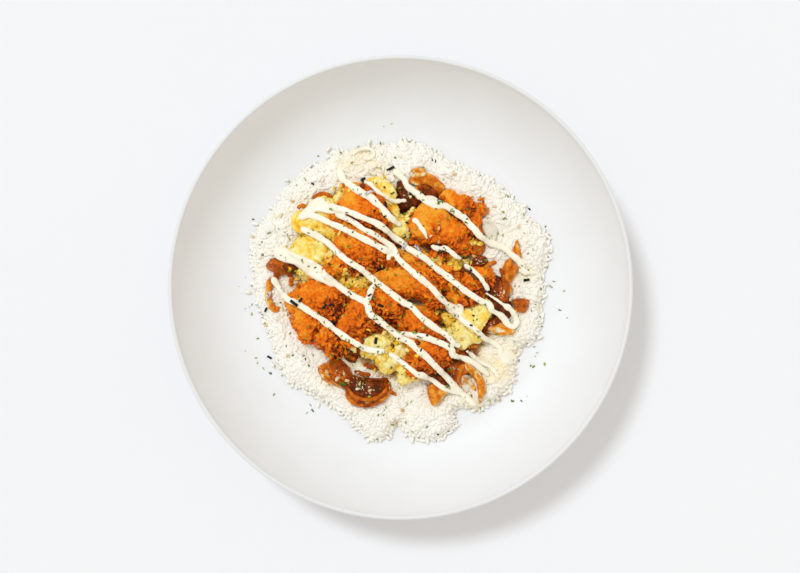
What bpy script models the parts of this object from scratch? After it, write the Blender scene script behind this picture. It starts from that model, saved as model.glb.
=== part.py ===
"""A wide white bowl of rice under fried chicken, scrambled egg, braised onion and mayonnaise.

Lengths are in metres, +Z is up, and the origin is on the table under the middle of the foot.
Plan outlines are in pixels of the photograph, which looks straight down on the bowl.
PLAN_SCALE and RICE_SCALE turn them into metres at the height of the toppings and of the rice.
"""

import math
import random

import bmesh
import bpy
import numpy as np
from mathutils import Vector, geometry, noise

# Bowl
BOWL_RADIUS = 0.140
BOWL_HEIGHT = 0.052
BOWL_SEGMENTS = 56
BOWL_FLOOR = 0.0128
FLOOR_RADIUS = 0.096
WALL_START_ANGLE = math.radians(8)
WALL_END_ANGLE = math.radians(68)
WALL_STEPS = 6
LIP_THICKNESS = 0.0028
LIP_TURNS = (135, 90, 45, 0)
BASE_THICKNESS = 0.0055
FOOT_OUTER_RADIUS = 0.0715
FOOT_INNER_RADIUS = 0.0655
FOOT_TAPER = 0.0015
RECESS_HEIGHT = 0.006

# Plan view
PLAN_CENTRE = (400.4, 287.4)
PLAN_SCALE = 0.000612
RICE_SCALE = 0.00062

# Stacking
GAP = 0.0003
CELL = 0.0005
MAP_HALF = 0.108
MAP_CELLS = int(round(2 * MAP_HALF / CELL))
EDGE_SHARE = 0.02
SAMPLE_STEP = 0.0007
LIFT_ROUNDS = 14
CLEARANCE_ERROR = 1e-6
STEEPEST_LEAN = 0.3
THINNEST = 0.0014
DOME_POWER = 2.6
BELLY_SHARE = 0.4

# Kinds of chunk: the thickness as a share of the smallest width and its limits, the sectors and
# rings of points over the top, and the depth and size of the relief
ONION = {"share": 0.45, "least": 0.003, "most": 0.0055, "sectors": 10, "rings": (0.62, 1.0),
         "relief": 0.0006, "relief_size": 0.006}
EGG = {"share": 0.5, "least": 0.005, "most": 0.009, "sectors": 14, "rings": (0.5, 0.86, 1.0),
       "relief": 0.0022, "relief_size": 0.006}
CHICKEN = {"share": 0.62, "least": 0.0075, "most": 0.0115, "sectors": 16, "rings": (0.42, 0.76, 0.94, 1.0),
           "relief": 0.0020, "relief_size": 0.007}

# Soft strips of onion
STRIP_STEP = 0.0075
STRIP_THICKNESS = 0.0026
STRIP_FLAT_SHARE = 0.55
STRIP_END_TAPER = 0.6
STRIP_TIP_SHARE = 0.25

# Rice
RICE_OUTLINE = [
    (414, 139.5), (446.8, 157), (470, 168), (492, 180), (507, 193), (522, 207), (535, 222), (549, 236),
    (549, 254), (544.4, 272), (546, 291), (542, 311), (538, 337), (518, 352), (516, 366), (517, 380),
    (505, 395), (492, 405), (479, 410.5), (457, 410.5), (456, 426), (438, 441), (420, 441), (405, 434),
    (397, 424), (389, 437), (368, 441), (351.4, 424), (327.6, 405), (304, 392), (286.4, 380), (274, 352),
    (264.7, 326), (256, 300), (252, 270), (250, 240), (268, 212), (284, 190), (301.6, 172), (322, 160),
    (336, 150), (362, 148), (388, 143),
]
RICE_RIM_POINTS = 112
RICE_CENTRE_HEIGHT = 0.0105
RICE_EDGE_HEIGHT = 0.0082
RICE_SHOULDER = 0.0035
RICE_RIM_LEVEL = 0.0022
RICE_UNDERCUT = 0.0012
RICE_MOUND = 0.0015
RICE_MOUND_SIZE = 0.018
RICE_RIM_WAVER = 0.007
RICE_RIM_BUMPS = (-0.0005, 0.0008)
RICE_SEED = 11
GRAIN_LENGTH = 0.006
GRAIN_SPACING = 0.0051
GRAIN_BUMP = 0.0014
GRAIN_BUMP_RANGE = (0.7, 1.2)
DIP_SPACING = 0.0033
HIDDEN_SPACING = 0.0085
UNDERSIDE_SPACING = 0.024
TRIES_PER_CELL = 5

# Outlines of the pieces in plan, from the lowest to the topmost
ONION_CHUNKS = {
    "onion_left_heap": [(266.8, 264.6), (272, 259), (281, 262), (295.5, 265.6), (296, 270), (289, 275),
                        (280, 275), (271.6, 270.4)],
    "onion_ring_sauce": [(351, 387.5), (357.7, 379.8), (367, 378.9), (375.8, 383.7), (373, 390),
                         (366, 392.5),
                         (357.7, 391.5)],
    "onion_wedge_lower_left": [(319.4, 366.4), (329, 365), (338, 364.5), (347, 370), (351, 379), (348, 386),
                               (338.5, 384.6), (327, 379.8), (321.3, 374)],
    "onion_heap_lower_right": [(443.7, 368.4), (447, 360), (459, 362), (468.5, 369), (469, 375),
                               (462.8, 381), (458, 384), (451.3, 376)],
    "onion_flat_bottom": [(428.4, 385.6), (434, 384.6), (443.7, 389.4), (449.4, 393.2), (443.7, 398),
                          (439, 404.7), (434, 407.6), (430, 402.8), (427.4, 396)],
    "onion_dark_top": [(396.8, 184), (402, 181), (406, 189), (413, 195), (421, 202), (417, 207), (408, 210),
                       (401, 212), (398, 204), (396.5, 194)],
    "onion_shell_top": [(413, 187), (424, 183.5), (432, 186), (440, 193), (436, 198), (427, 198),
                        (418, 193)],
    "onion_pale_right": [(483, 218.7), (492.4, 219.7), (498.2, 229.2), (497.2, 238.8), (492.4, 242.6),
                         (485.7, 236), (482, 227.3)],
    "onion_olive_right": [(472, 241.7), (478, 240.7), (483.8, 244.5), (483, 252), (478, 257), (472.4, 256)],
    "onion_dark_right": [(471.4, 265.6), (476.2, 259.5), (483.8, 258), (487.7, 261.5), (485.7, 266),
                         (478, 268)],
    "onion_corner_right": [(510.6, 258.9), (518.3, 267.5), (513.5, 277), (506.8, 276), (503, 267.5)],
    "onion_dark_lower_right": [(492, 286), (500, 281), (505, 288.5), (510, 297), (508.5, 308), (503, 315),
                               (495, 312), (490.5, 300)],
    "onion_square_right": [(514.5, 299.5), (527.8, 299), (528, 307), (524, 312), (515.4, 311)],
    "onion_leaf_right": [(485.7, 330), (495.3, 325.8), (506.8, 326.3), (517.3, 329.1), (513.5, 334.9),
                         (500, 335.8), (491, 333.5)],
}
ONION_STRIPS = {
    "onion_strip_upper_left": (6.5, [(314, 196.5), (321, 193.5), (328, 195), (334, 197)]),
    "onion_strip_left_hook": (7.5, [(271, 277), (268, 285), (267, 295), (269, 304), (274, 309.5),
                                    (279.5, 307)]),
    "onion_ring_inner": (6, [(349, 389), (356, 396.5), (366, 398.5), (375.8, 394.2), (381.6, 387),
                             (383.5, 381)]),
    "onion_ring_outer": (6.5, [(345, 392), (349.5, 400), (357.7, 405), (367, 406), (377.5, 403),
                               (386.5, 395.5),
                               (390, 387)]),
    "onion_strip_dark_bottom": (7, [(427, 371), (436, 378), (448, 386.5)]),
    "onion_arc_lower_right": (6.5, [(457, 357.5), (466.5, 361.5), (475, 369), (481, 379.5), (483.5, 390),
                                    (480, 401)]),
    "onion_arc_top": (8, [(410.5, 184), (414, 177), (423, 174), (433, 178), (440, 184), (446, 189)]),
    "onion_strip_right": (8, [(506.5, 279), (508.5, 286), (511.5, 294)]),
    "onion_strip_dark_right": (5, [(480, 328.5), (492, 322.5), (503, 318.5)]),
}
EGG_CURDS = {
    "egg_left": [(289.7, 245.5), (293.6, 240.7), (304, 234), (315.6, 238.8), (327, 244.5), (334.7, 252.2),
                 (337, 260), (332.8, 264.6), (325, 266), (317, 263), (308, 261.5), (300, 256), (293, 253)],
    "egg_upper_left": [(306, 206.3), (309.8, 200.5), (319.4, 195.5), (327, 198.6), (332, 206), (337, 216),
                       (337.5, 230), (336, 241), (328, 237), (318, 230), (308, 229), (299, 227),
                       (295.5, 220),
                       (298, 212)],
    "egg_top_left": [(331, 204.4), (333, 197), (337.6, 190), (342, 186), (351, 188), (347, 195),
                     (343, 203), (338.5, 207)],
    "egg_small_left": [(295.5, 271), (303, 269.4), (312, 274.5), (313, 280), (304, 281.5), (298, 277)],
    "egg_middle_left": [(335.7, 276), (343.3, 271.3), (354, 275), (368, 280), (370.5, 284), (367, 290),
                        (356, 289.5), (347, 285.7), (339, 280.5)],
    "egg_top": [(366.3, 178), (375, 174.7), (385.4, 178.5), (395, 186), (397, 196), (399.5, 208),
                (400, 219), (393, 217), (385, 209), (380.6, 200), (375, 191), (369, 185)],
    "egg_centre_top": [(388, 222), (396, 221), (404, 214), (412, 206), (416, 208), (411, 217), (410, 227),
                       (411, 236), (405, 238.5), (396, 233)],
    "egg_between_chicken": [(443, 256), (451, 255), (459, 261), (458, 268), (450, 265)],
    "egg_bottom_left": [(342.4, 341.6), (352, 338), (360, 335.5), (369, 333.5), (384.5, 332), (393, 339.7),
                        (391, 347), (382, 353), (377, 360), (367, 359), (356.7, 353), (348, 349)],
    "egg_bottom_middle": [(376.8, 354.5), (386, 353), (395, 358), (398, 366), (395, 373), (388, 375.5),
                          (379.7, 372), (375.5, 364)],
    "egg_bottom_right": [(394, 345), (399, 340), (406.5, 343.5), (411, 353), (413, 362), (418, 373),
                         (413, 382), (403, 386.5), (397, 382), (396, 370), (398, 360), (395, 352)],
    "egg_small_right": [(438.9, 311), (447.5, 313.8), (455, 318.6), (453, 323), (448.4, 328.2),
                        (442.7, 321.5)],
    "egg_lower_right": [(449.4, 329), (457, 323.4), (464, 324.4), (469.5, 329.5), (478, 335.8),
                        (479, 341.6),
                        (470.4, 345.4), (464, 345.4), (457, 341.6), (449.5, 336.5)],
    "egg_right": [(464.7, 311), (473.3, 304.5), (482.9, 304.3), (488.6, 309), (489.6, 317), (485.7, 325.3),
                  (478, 328.2), (471.5, 325), (466, 318)],
}
CHICKEN_PIECES = {
    "chicken_under_strands": [(330, 214), (338.5, 211), (352, 215), (366, 221), (378, 229), (389, 239),
                              (398, 248), (390, 252), (378, 246), (366, 239), (350, 231), (337, 222)],
    "chicken_top_left": [(340.4, 204.4), (343.3, 195.7), (350, 189.5), (358.6, 184.3), (368, 184.3),
                         (375, 190), (380.6, 197.7), (384, 208), (388.5, 219), (387, 225.4), (376.8, 222.5),
                         (365.3, 217.7), (352.9, 211.5)],
    "chicken_upper_middle": [(336.6, 230), (343.3, 226.5), (354, 231), (365.3, 238.5), (377, 247),
                             (385.4, 254),
                             (386, 261), (379.7, 266), (370, 270), (361.5, 265.6), (353.8, 259.8),
                             (344.3, 254), (338.5, 247), (336, 238.8)],
    "chicken_small_left": [(323.2, 267), (329, 262), (337, 259), (348, 263.7), (357.7, 270.4), (356, 276),
                           (346, 274), (334.7, 275.5), (327, 272.5)],
    "chicken_long_upper": [(407, 239.5), (414, 242), (424, 249), (438, 257.5), (453, 265.5), (466, 270.5),
                           (478, 279), (485, 288.5), (483, 295.5), (475, 296), (462, 288), (445, 275),
                           (430, 263), (415, 252), (408, 246)],
    "chicken_tip_right": [(471, 268), (478, 265.4), (492.4, 268.6), (496.3, 277), (497, 284), (491.5, 289),
                          (485, 285), (480, 277)],
    "chicken_upper_right": [(410, 216.8), (416, 208), (427.4, 205), (438, 205.5), (449.4, 216.5),
                            (459, 222.5), (468, 229), (470.5, 240.7), (473, 249.3), (471, 254.5),
                            (464, 255.3), (456, 250.5), (443, 245), (431, 243), (420.7, 241), (411.5, 235),
                            (409, 225)],
    "chicken_chip_top_right": [(475, 203), (483.8, 201.8), (489, 209), (484, 213), (482.3, 220), (482, 232),
                               (476, 229), (471.5, 218), (473, 210)],
    "chicken_top_right": [(439.8, 194.8), (445.6, 188), (453.2, 187.8), (459, 193), (468.5, 194.5),
                          (474.3, 199.6), (477, 206.3), (474.3, 213), (470, 214), (462.8, 211.1),
                          (454.2, 206.3), (446.5, 200.5)],
    "chicken_long_lower": [(397.5, 252), (403, 250.5), (413, 256), (424, 264), (437, 274), (448.5, 284),
                           (452, 290), (447, 296), (438, 291), (425, 280), (411, 269), (401, 259)],
    "chicken_long_lower_tip": [(449, 286.5), (456, 287), (466, 295), (474, 301.5), (472, 307), (463, 306.5),
                               (455, 302), (448.5, 297)],
    "chicken_middle": [(377, 275.5), (386, 267), (395.5, 259), (405, 266), (421, 279), (432, 290),
                       (440, 299.5), (442, 307), (435, 309.5), (426, 304), (417, 298.5), (406, 296),
                       (393, 291.5), (383, 285)],
    "chicken_small_middle": [(417.5, 308), (425, 306), (433, 308), (439, 314), (441, 320.5), (436, 325.5),
                             (428, 322), (421, 316)],
    "chicken_lower_strip": [(399, 322), (404, 313.5), (411.5, 310), (420, 317), (430, 326), (441, 334),
                            (449.5, 343.5), (441, 345), (428, 338), (415, 334), (404, 330.5)],
    "chicken_small_centre": [(374, 296), (376.8, 290.5), (383, 289), (390, 294), (397, 300.5), (402.6, 309),
                             (402, 317), (396.5, 321.8), (389, 320), (380.6, 314), (375, 307)],
    "chicken_middle_left": [(345.5, 303), (349, 296), (356, 289.5), (367, 288.5), (368, 297), (367.5, 307),
                            (371, 318), (383.5, 328.5), (383, 331.5), (372, 333.5), (358.6, 337.7),
                            (350, 334), (341.5, 329), (338, 323), (341, 314)],
    "chicken_lower_left": [(286, 305), (293, 302.5), (303, 308), (315, 318), (323, 326), (317, 331.5),
                           (313, 338), (312.5, 346), (305, 345.3), (299, 341), (296.5, 334), (292, 329),
                           (290.5, 323), (293, 318.5), (288, 313.5)],
    "chicken_bottom_left": [(313.7, 336), (318.4, 330), (326.5, 327), (332.8, 333.5), (338.5, 341.2),
                            (341.6, 349), (343.3, 355), (338.5, 359.7), (331.8, 359.7), (325, 355),
                            (320.5, 350.2), (315.2, 345)],
    "chicken_left": [(289, 297), (295, 288.5), (302, 282.8), (311.7, 280), (323, 282.5), (334.7, 287.3),
                     (342.5, 293), (346.5, 299.5), (344.3, 307), (340.5, 314.5), (333.5, 318.5),
                     (325, 315), (314, 309), (303, 303.5), (294, 301)],
    "chicken_bottom": [(407, 351), (411.5, 343.5), (417, 341), (425, 341.8), (436, 345.5), (445.6, 349),
                       (450.6, 354), (449.6, 360), (443.7, 365.7), (433, 368.5), (424, 372.4),
                       (417, 373.3), (411, 367.6), (408, 360)],
}

# Mayonnaise strands: width in pixels and route
MAYO_STRANDS = {
    "strand_upper_right": (7.5, [(393, 171), (404.4, 180.4), (407.3, 187), (416, 193), (424, 199.6),
                                 (438, 203.4),
                                 (453, 211), (463, 217.7), (474, 229), (487.7, 241.7), (506, 249.3),
                                 (516.4, 259), (524, 270.4), (532, 273.5)]),
    "strand_top_left": (7.5, [(342, 172), (348, 183.3), (363.4, 193.8), (371, 197.7), (382.5, 208.2),
                              (392, 218.7), (402, 224)]),
    "strand_third": (7, [(329, 204.4), (344, 210), (354, 214), (375, 222.5), (389, 233), (403.6, 244),
                         (425.5, 259), (445.6, 275), (464.7, 290.5), (484, 303), (491, 309), (501, 315.7),
                         (508, 325), (513.5, 326.3), (516.4, 321.5), (508.7, 308), (493.4, 297.6)]),
    "strand_fourth": (7, [(335, 213), (354, 222.5), (373, 234), (392, 250), (414, 273.2), (432, 288.5),
                          (446, 303), (457, 312), (462, 320), (478, 332), (491.5, 341.6), (500, 348)]),
    "strand_fifth": (7, [(299, 219), (311, 215.5), (323, 219.7), (338.5, 226.4), (357.7, 236), (377, 245.5),
                         (392, 252)]),
    "strand_sixth": (7.5, [(301, 227.5), (316, 235), (331, 245.5), (346, 260), (361.5, 269.4), (386.4, 289),
                           (411, 306.5), (430, 324.4), (447.5, 336), (453, 342), (461, 347)]),
    "strand_seventh": (7.5, [(274, 252), (284, 256), (296, 257), (308, 264), (323, 274.2), (346, 291.4),
                             (364, 302.5), (371, 314), (384.5, 324.4), (397, 334.5), (410, 342.5),
                             (432, 362.6), (454, 385.6), (476, 405.7)]),
    "strand_branch": (7, [(397, 334), (411, 335), (424, 337), (443.7, 344.4), (453, 354), (471, 361.7),
                          (490, 376)]),
    "strand_eighth": (7, [(271.6, 277), (283, 293.3), (290, 300.5), (311.7, 313), (334.7, 329),
                          (357.7, 344.4),
                          (373, 350.2), (385, 350)]),
    "strand_ninth": (6.5, [(388, 353), (403.6, 363.6), (417, 374), (432, 379.8), (446.5, 389.4),
                           (461, 393)]),
}
BEAD_SIDES = 5
BEAD_STEP = 0.0062
BEAD_FLATNESS = 0.62
BEAD_RISE = 0.3
BEAD_END_TAPER = 0.75

# How far a piece's edge runs on beneath a strand, and how near the strand has to be, in pixels
STRAND_REACH = 9.0
STRAND_SEARCH = 10.0

# Nori strips: place and turn in plan, length and width in pixels
NORI_STRIPS = [
    (390.5, 168.6, 30, 8.5, 3.4), (363, 179.2, 60, 5, 4.4), (368.8, 192.2, 25, 10, 3.2),
    (385.7, 204.6, 105, 6.5, 2.8), (418.2, 248, -40, 9, 3.6), (294, 303.2, -38, 9, 3.6),
    (325, 306.5, 60, 5.5, 3.4), (375.7, 340.7, 82, 6.5, 3.4), (380.7, 305.6, -20, 6, 3.4),
    (526.6, 280, 5, 6, 3.3),
]
NORI_THICKNESS = 0.0006
NORI_LEAN = 0.12

# Sesame seeds: place and turn in plan
SESAME_SEEDS = [
    (357.7, 388.9, 10), (370.1, 390.4, 25), (327, 372, -50), (338, 378, 20), (281, 215, 50),
    (403, 410.5, 30), (395, 423, 80), (494.8, 206.3, 0), (439, 228, 70), (288, 356, -20),
    (519, 227, 15), (500, 400, 60),
]
SEED_LENGTH = 0.0034
SEED_WIDTH = 0.0020
SEED_SIDES = 6
SEED_RINGS = ((-0.2, 1.0), (0.2, 0.7))
SEED_FLATNESS = 0.6


def clear_scene():
    for item in list(bpy.data.objects):
        bpy.data.objects.remove(item, do_unlink=True)


def make_material(name, colour, roughness):
    material = bpy.data.materials.new(name)
    material.use_nodes = True
    shader = material.node_tree.nodes["Principled BSDF"]
    shader.inputs["Base Color"].default_value = (*colour, 1.0)
    shader.inputs["Roughness"].default_value = roughness
    shader.inputs["Metallic"].default_value = 0.0
    return material


def make_object(name, points, faces, material):
    """One closed mesh object, with its faces turned outwards."""
    mesh = bpy.data.meshes.new(name)
    mesh.from_pydata([tuple(point) for point in points], [], [tuple(face) for face in faces])
    mesh.materials.append(material)
    body = bmesh.new()
    body.from_mesh(mesh)
    bmesh.ops.recalc_face_normals(body, faces=body.faces)
    body.to_mesh(mesh)
    body.free()
    mesh.shade_smooth()
    item = bpy.data.objects.new(name, mesh)
    bpy.context.scene.collection.objects.link(item)
    return item


def plan(point, scale=PLAN_SCALE):
    """A point of the photograph as metres from the middle of the bowl."""
    return np.array([(point[0] - PLAN_CENTRE[0]) * scale, (PLAN_CENTRE[1] - point[1]) * scale])


def spline(points, closed, per_span=12):
    """Points along a Catmull-Rom curve through the given ones."""
    points = np.asarray(points, dtype=float)
    count = len(points)
    curve = []
    for index in range(count if closed else count - 1):
        if closed:
            before, start, end, after = (points[(index + step) % count] for step in (-1, 0, 1, 2))
        else:
            start, end = points[index], points[index + 1]
            before = points[index - 1] if index > 0 else 2 * start - end
            after = points[index + 2] if index + 2 < count else 2 * end - start
        for step in range(per_span):
            t = step / per_span
            curve.append(0.5 * (2 * start + (end - before) * t
                                + (2 * before - 5 * start + 4 * end - after) * t ** 2
                                + (3 * start - before - 3 * end + after) * t ** 3))
    if not closed:
        curve.append(points[-1])
    return np.array(curve)


def even(curve, count, closed):
    """The given number of points, evenly spaced along a curve."""
    loop = np.vstack([curve, curve[:1]]) if closed else curve
    lengths = np.concatenate([[0], np.cumsum(np.linalg.norm(np.diff(loop, axis=0), axis=1))])
    marks = np.linspace(0, lengths[-1], count + 1 if closed else count)
    result = np.column_stack([np.interp(marks, lengths, loop[:, axis]) for axis in range(2)])
    return result[:-1] if closed else result


def wall_angle(radius):
    share = (radius - FLOOR_RADIUS) / (BOWL_RADIUS - LIP_THICKNESS - FLOOR_RADIUS)
    return WALL_START_ANGLE + np.clip(share, 0, 1) * (WALL_END_ANGLE - WALL_START_ANGLE)


def bowl_surface(radius):
    """Height of the inside of the bowl: a flat floor, then a wall that steepens evenly."""
    depth = BOWL_HEIGHT - LIP_THICKNESS / 2 - BOWL_FLOOR
    full = math.log(math.cos(WALL_START_ANGLE) / math.cos(WALL_END_ANGLE))
    rise = np.log(math.cos(WALL_START_ANGLE) / np.cos(wall_angle(radius))) / full
    return BOWL_FLOOR + depth * np.where(np.asarray(radius) > FLOOR_RADIUS, rise, 0)


class HeightMap:
    """The highest surface so far on a fine grid in plan, and the piece that it belongs to."""

    def __init__(self, level=None):
        ticks = (np.arange(MAP_CELLS) + 0.5) * CELL - MAP_HALF
        self.x, self.y = np.meshgrid(ticks, ticks, indexing="ij")
        bowl = bowl_surface(np.hypot(self.x, self.y))
        self.level = bowl if level is None else np.full(bowl.shape, level)
        self.owner = np.full(self.level.shape, "", dtype=object)
        self.under = {}

    def cells(self, x, y):
        row = np.clip(((np.asarray(x) + MAP_HALF) / CELL).astype(int), 0, MAP_CELLS - 1)
        column = np.clip(((np.asarray(y) + MAP_HALF) / CELL).astype(int), 0, MAP_CELLS - 1)
        return row, column

    def stamp(self, name, points, faces):
        """Raise the map to the top of a piece."""
        self.under[name] = self.level.copy()
        for face in faces:
            for corner in range(1, len(face) - 1):
                self.stamp_triangle(name, points[[face[0], face[corner], face[corner + 1]]])

    def stamp_triangle(self, name, corners):
        low = np.floor((corners[:, :2].min(axis=0) + MAP_HALF) / CELL - 0.5).astype(int)
        high = np.ceil((corners[:, :2].max(axis=0) + MAP_HALF) / CELL - 0.5).astype(int) + 1
        low = np.clip(low, 0, MAP_CELLS)
        high = np.clip(high, 0, MAP_CELLS)
        window = (slice(low[0], high[0]), slice(low[1], high[1]))
        x, y = self.x[window], self.y[window]
        if x.size == 0:
            return
        (ax, ay, az), (bx, by, bz), (cx, cy, cz) = corners
        area = (bx - ax) * (cy - ay) - (cx - ax) * (by - ay)
        if area == 0:
            return
        second = ((x - ax) * (cy - ay) - (cx - ax) * (y - ay)) / area
        third = ((bx - ax) * (y - ay) - (x - ax) * (by - ay)) / area
        inside = (second >= -EDGE_SHARE) & (third >= -EDGE_SHARE) & (second + third <= 1 + EDGE_SHARE)
        height = az + second * (bz - az) + third * (cz - az)
        better = inside & (height > self.level[window])
        self.level[window][better] = height[better]
        self.owner[window][better] = name

    def widened(self):
        """The level with each cell raised to its highest neighbour."""
        wide = self.level.copy()
        for row in (-1, 0, 1):
            for column in (-1, 0, 1):
                wide = np.maximum(wide, np.roll(self.level, (row, column), axis=(0, 1)))
        return wide


def lattice(steps):
    """Weights of the points of an even grid inside a triangle."""
    rows = [(i / steps, j / steps, (steps - i - j) / steps)
            for i in range(steps + 1) for j in range(steps + 1 - i)]
    return np.array(rows)


def lift_clear(points, faces, ground, heights, groups=None):
    """Raise points until every face of an underside clears the ground by the gap."""
    weights_of = {}
    for _ in range(LIFT_ROUNDS):
        raise_by = np.zeros(len(points))
        for face in faces:
            corners = points[list(face)]
            longest = max(np.linalg.norm(corners[i, :2] - corners[i - 1, :2]) for i in range(3))
            steps = max(1, math.ceil(longest / SAMPLE_STEP))
            if steps not in weights_of:
                weights_of[steps] = lattice(steps)
            weights = weights_of[steps]
            spots = weights @ corners
            short = ground[heights.cells(spots[:, 0], spots[:, 1])] + GAP - spots[:, 2]
            worst = int(np.argmax(short))
            if short[worst] > CLEARANCE_ERROR:
                share = weights[worst]
                for corner, part in zip(face, share / (share ** 2).sum()):
                    raise_by[corner] = max(raise_by[corner], short[worst] * part)
        if raise_by.max() < CLEARANCE_ERROR:
            break
        if groups is not None:
            for group in groups:
                raise_by[group] = raise_by[group].max()
        points[:, 2] += raise_by


def lean_of_ground(x, y, z):
    """The plane that follows the ground under a piece, no steeper than a piece would lie."""
    matrix = np.column_stack([np.ones_like(x), x - x.mean(), y - y.mean()])
    level, slope_x, slope_y = np.linalg.lstsq(matrix, z, rcond=None)[0]
    steepness = math.hypot(slope_x, slope_y)
    if steepness > STEEPEST_LEAN:
        slope_x *= STEEPEST_LEAN / steepness
        slope_y *= STEEPEST_LEAN / steepness
    return level, slope_x, slope_y


def fan_and_rings(centre, rings, flip):
    """Triangles of a disc from a centre point and rings of points, inside to outside."""
    count = len(rings[0])
    faces = []
    for index in range(count):
        after = (index + 1) % count
        faces.append((centre, rings[0][index], rings[0][after]))
        for inner, outer in zip(rings, rings[1:]):
            faces.append((inner[index], outer[index], outer[after]))
            faces.append((inner[index], outer[after], inner[after]))
    if flip:
        faces = [tuple(reversed(face)) for face in faces]
    return faces


def add_chunk(heights, name, outline, kind, material):
    """A rounded chunk that lies on what is under it, with a relief of crags or curds on top."""
    sectors, shares = kind["sectors"], kind["rings"]
    thickness = min(max(kind["share"] * smallest_width(outline), kind["least"]), kind["most"])
    rim = even(spline([plan(point) for point in outline], True), sectors, True)
    centre = rim.mean(axis=0)
    spots = np.vstack([centre] + [centre + (rim - centre) * share for share in shares])
    ground = heights.widened()
    under = ground[heights.cells(spots[:, 0], spots[:, 1])]
    level, slope_x, slope_y = lean_of_ground(spots[:, 0], spots[:, 1], under)
    middle = spots.mean(axis=0)
    bed = level + (spots[:, 0] - middle[0]) * slope_x + (spots[:, 1] - middle[1]) * slope_y
    share = np.concatenate([[0.0]] + [np.full(sectors, value) for value in shares])
    dome = np.sqrt(np.clip(1 - share ** DOME_POWER, 0, 1))
    belly = BELLY_SHARE * thickness

    lower = np.column_stack([spots, bed + belly * (1 - dome)])
    rings = [list(range(1 + k * sectors, 1 + (k + 1) * sectors)) for k in range(len(shares))]
    lower_rings = [rings[k] for k in (len(rings) // 2 - 1, len(rings) - 1)]
    underside = fan_and_rings(0, lower_rings, True)
    lift_clear(lower, underside, ground, heights)

    floor_map = HeightMap(0.0)
    for face in underside:
        floor_map.stamp_triangle(name, lower[list(face)])
    floor = floor_map.level[heights.cells(spots[:, 0], spots[:, 1])]
    seed = sum(ord(letter) for letter in name)
    size = kind["relief_size"]
    relief = np.array([noise.noise(Vector((x / size, y / size, seed))) for x, y in spots])
    top = bed + belly + (thickness - belly + kind["relief"] * relief) * dome
    top = np.maximum(top, np.maximum(floor, lower[:, 2]) + THINNEST * dome)
    last = rings[-1]
    top[last] = lower[last, 2]

    count = len(spots)
    points = np.vstack([np.column_stack([spots, top]), lower[0], lower[lower_rings[0]]])
    bottom_centre = count
    bottom_ring = list(range(count + 1, count + 1 + sectors))
    upper_faces = fan_and_rings(0, rings, False)
    lower_faces = fan_and_rings(bottom_centre, [bottom_ring, last], True)
    heights.stamp(name, points, upper_faces)
    return make_object(name, points, upper_faces + lower_faces, material)


def add_strip(heights, name, width, route, material):
    """A soft strip, six-sided and pointed at both ends, that lies on what is under it."""
    curve = spline([plan(point) for point in route], False)
    length = np.linalg.norm(np.diff(curve, axis=0), axis=1).sum()
    count = max(4, int(round(length / STRIP_STEP)) + 1)
    path = even(curve, count, False)
    half = width * PLAN_SCALE / 2
    flat = STRIP_FLAT_SHARE * half
    rise = STRIP_THICKNESS / 2
    section = [(-half, 0), (-flat, -rise), (flat, -rise), (half, 0), (flat, rise), (-flat, rise)]
    sides = len(section)
    ground = heights.widened()
    points = []
    groups = []
    for index, spot in enumerate(path):
        ahead = path[min(index + 1, count - 1)] - path[max(index - 1, 0)]
        side = np.array([ahead[1], -ahead[0]]) / np.linalg.norm(ahead)
        taper = STRIP_END_TAPER if index in (0, count - 1) else 1.0
        height = float(ground[heights.cells(*spot)]) + rise + GAP
        groups.append(list(range(len(points), len(points) + sides)))
        for across, up in section:
            place = spot + side * across * taper
            points.append([place[0], place[1], height + up * taper])
    for end, inner in ((0, 1), (count - 1, count - 2)):
        tip = path[end] + (path[end] - path[inner]) * STRIP_TIP_SHARE
        groups[end].append(len(points))
        points.append([tip[0], tip[1], points[sides * end][2]])
    points = np.array(points)
    faces = []
    for index in range(count - 1):
        for k in range(sides):
            a, b = sides * index + k, sides * index + (k + 1) % sides
            faces.append((a, b, b + sides))
            faces.append((a, b + sides, a + sides))
    last = sides * (count - 1)
    for k in range(sides):
        faces.append((sides * count, (k + 1) % sides, k))
        faces.append((sides * count + 1, last + k, last + (k + 1) % sides))
    lift_clear(points, faces, ground, heights, groups)
    heights.stamp(name, points, faces)
    return make_object(name, points, faces, material)


def under_strands(outline):
    """The outline with its edges run on beneath the strands that cover them."""
    routes = np.vstack([spline(route, False) for _, route in MAYO_STRANDS.values()])
    corners = np.array(outline, dtype=float)
    centre = corners.mean(axis=0)
    for corner in corners:
        away = corner - centre
        near = np.linalg.norm(routes - corner, axis=1).min()
        reach = STRAND_REACH * max(0.0, 1 - near / STRAND_SEARCH)
        corner += away / np.linalg.norm(away) * reach
    return corners


def smallest_width(outline):
    """The narrowest extent of an outline in plan, over all directions."""
    points = np.array([plan(point) for point in outline])
    turns = np.linspace(0, math.pi, 24, endpoint=False)
    extents = [np.ptp(points @ np.array([math.cos(turn), math.sin(turn)])) for turn in turns]
    return min(extents)


def inside_outline(x, y, outline):
    """Which points of a grid lie inside a closed outline."""
    within = np.zeros(np.shape(x), dtype=bool)
    for (ax, ay), (bx, by) in zip(outline, np.roll(outline, -1, axis=0)):
        crosses = (ay > y) != (by > y)
        with np.errstate(divide="ignore", invalid="ignore"):
            within ^= crosses & (x < (bx - ax) * (y - ay) / (by - ay) + ax)
    return within


def distance_to_outline(spots, outline):
    """Distance of each point from the nearest edge of an outline."""
    nearest = np.full(len(spots), np.inf)
    for start, end in zip(outline, np.roll(outline, -1, axis=0)):
        along = end - start
        t = np.clip(((spots - start) @ along) / (along @ along), 0, 1)
        nearest = np.minimum(nearest, np.linalg.norm(spots - start - t[:, None] * along, axis=1))
    return nearest


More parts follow.
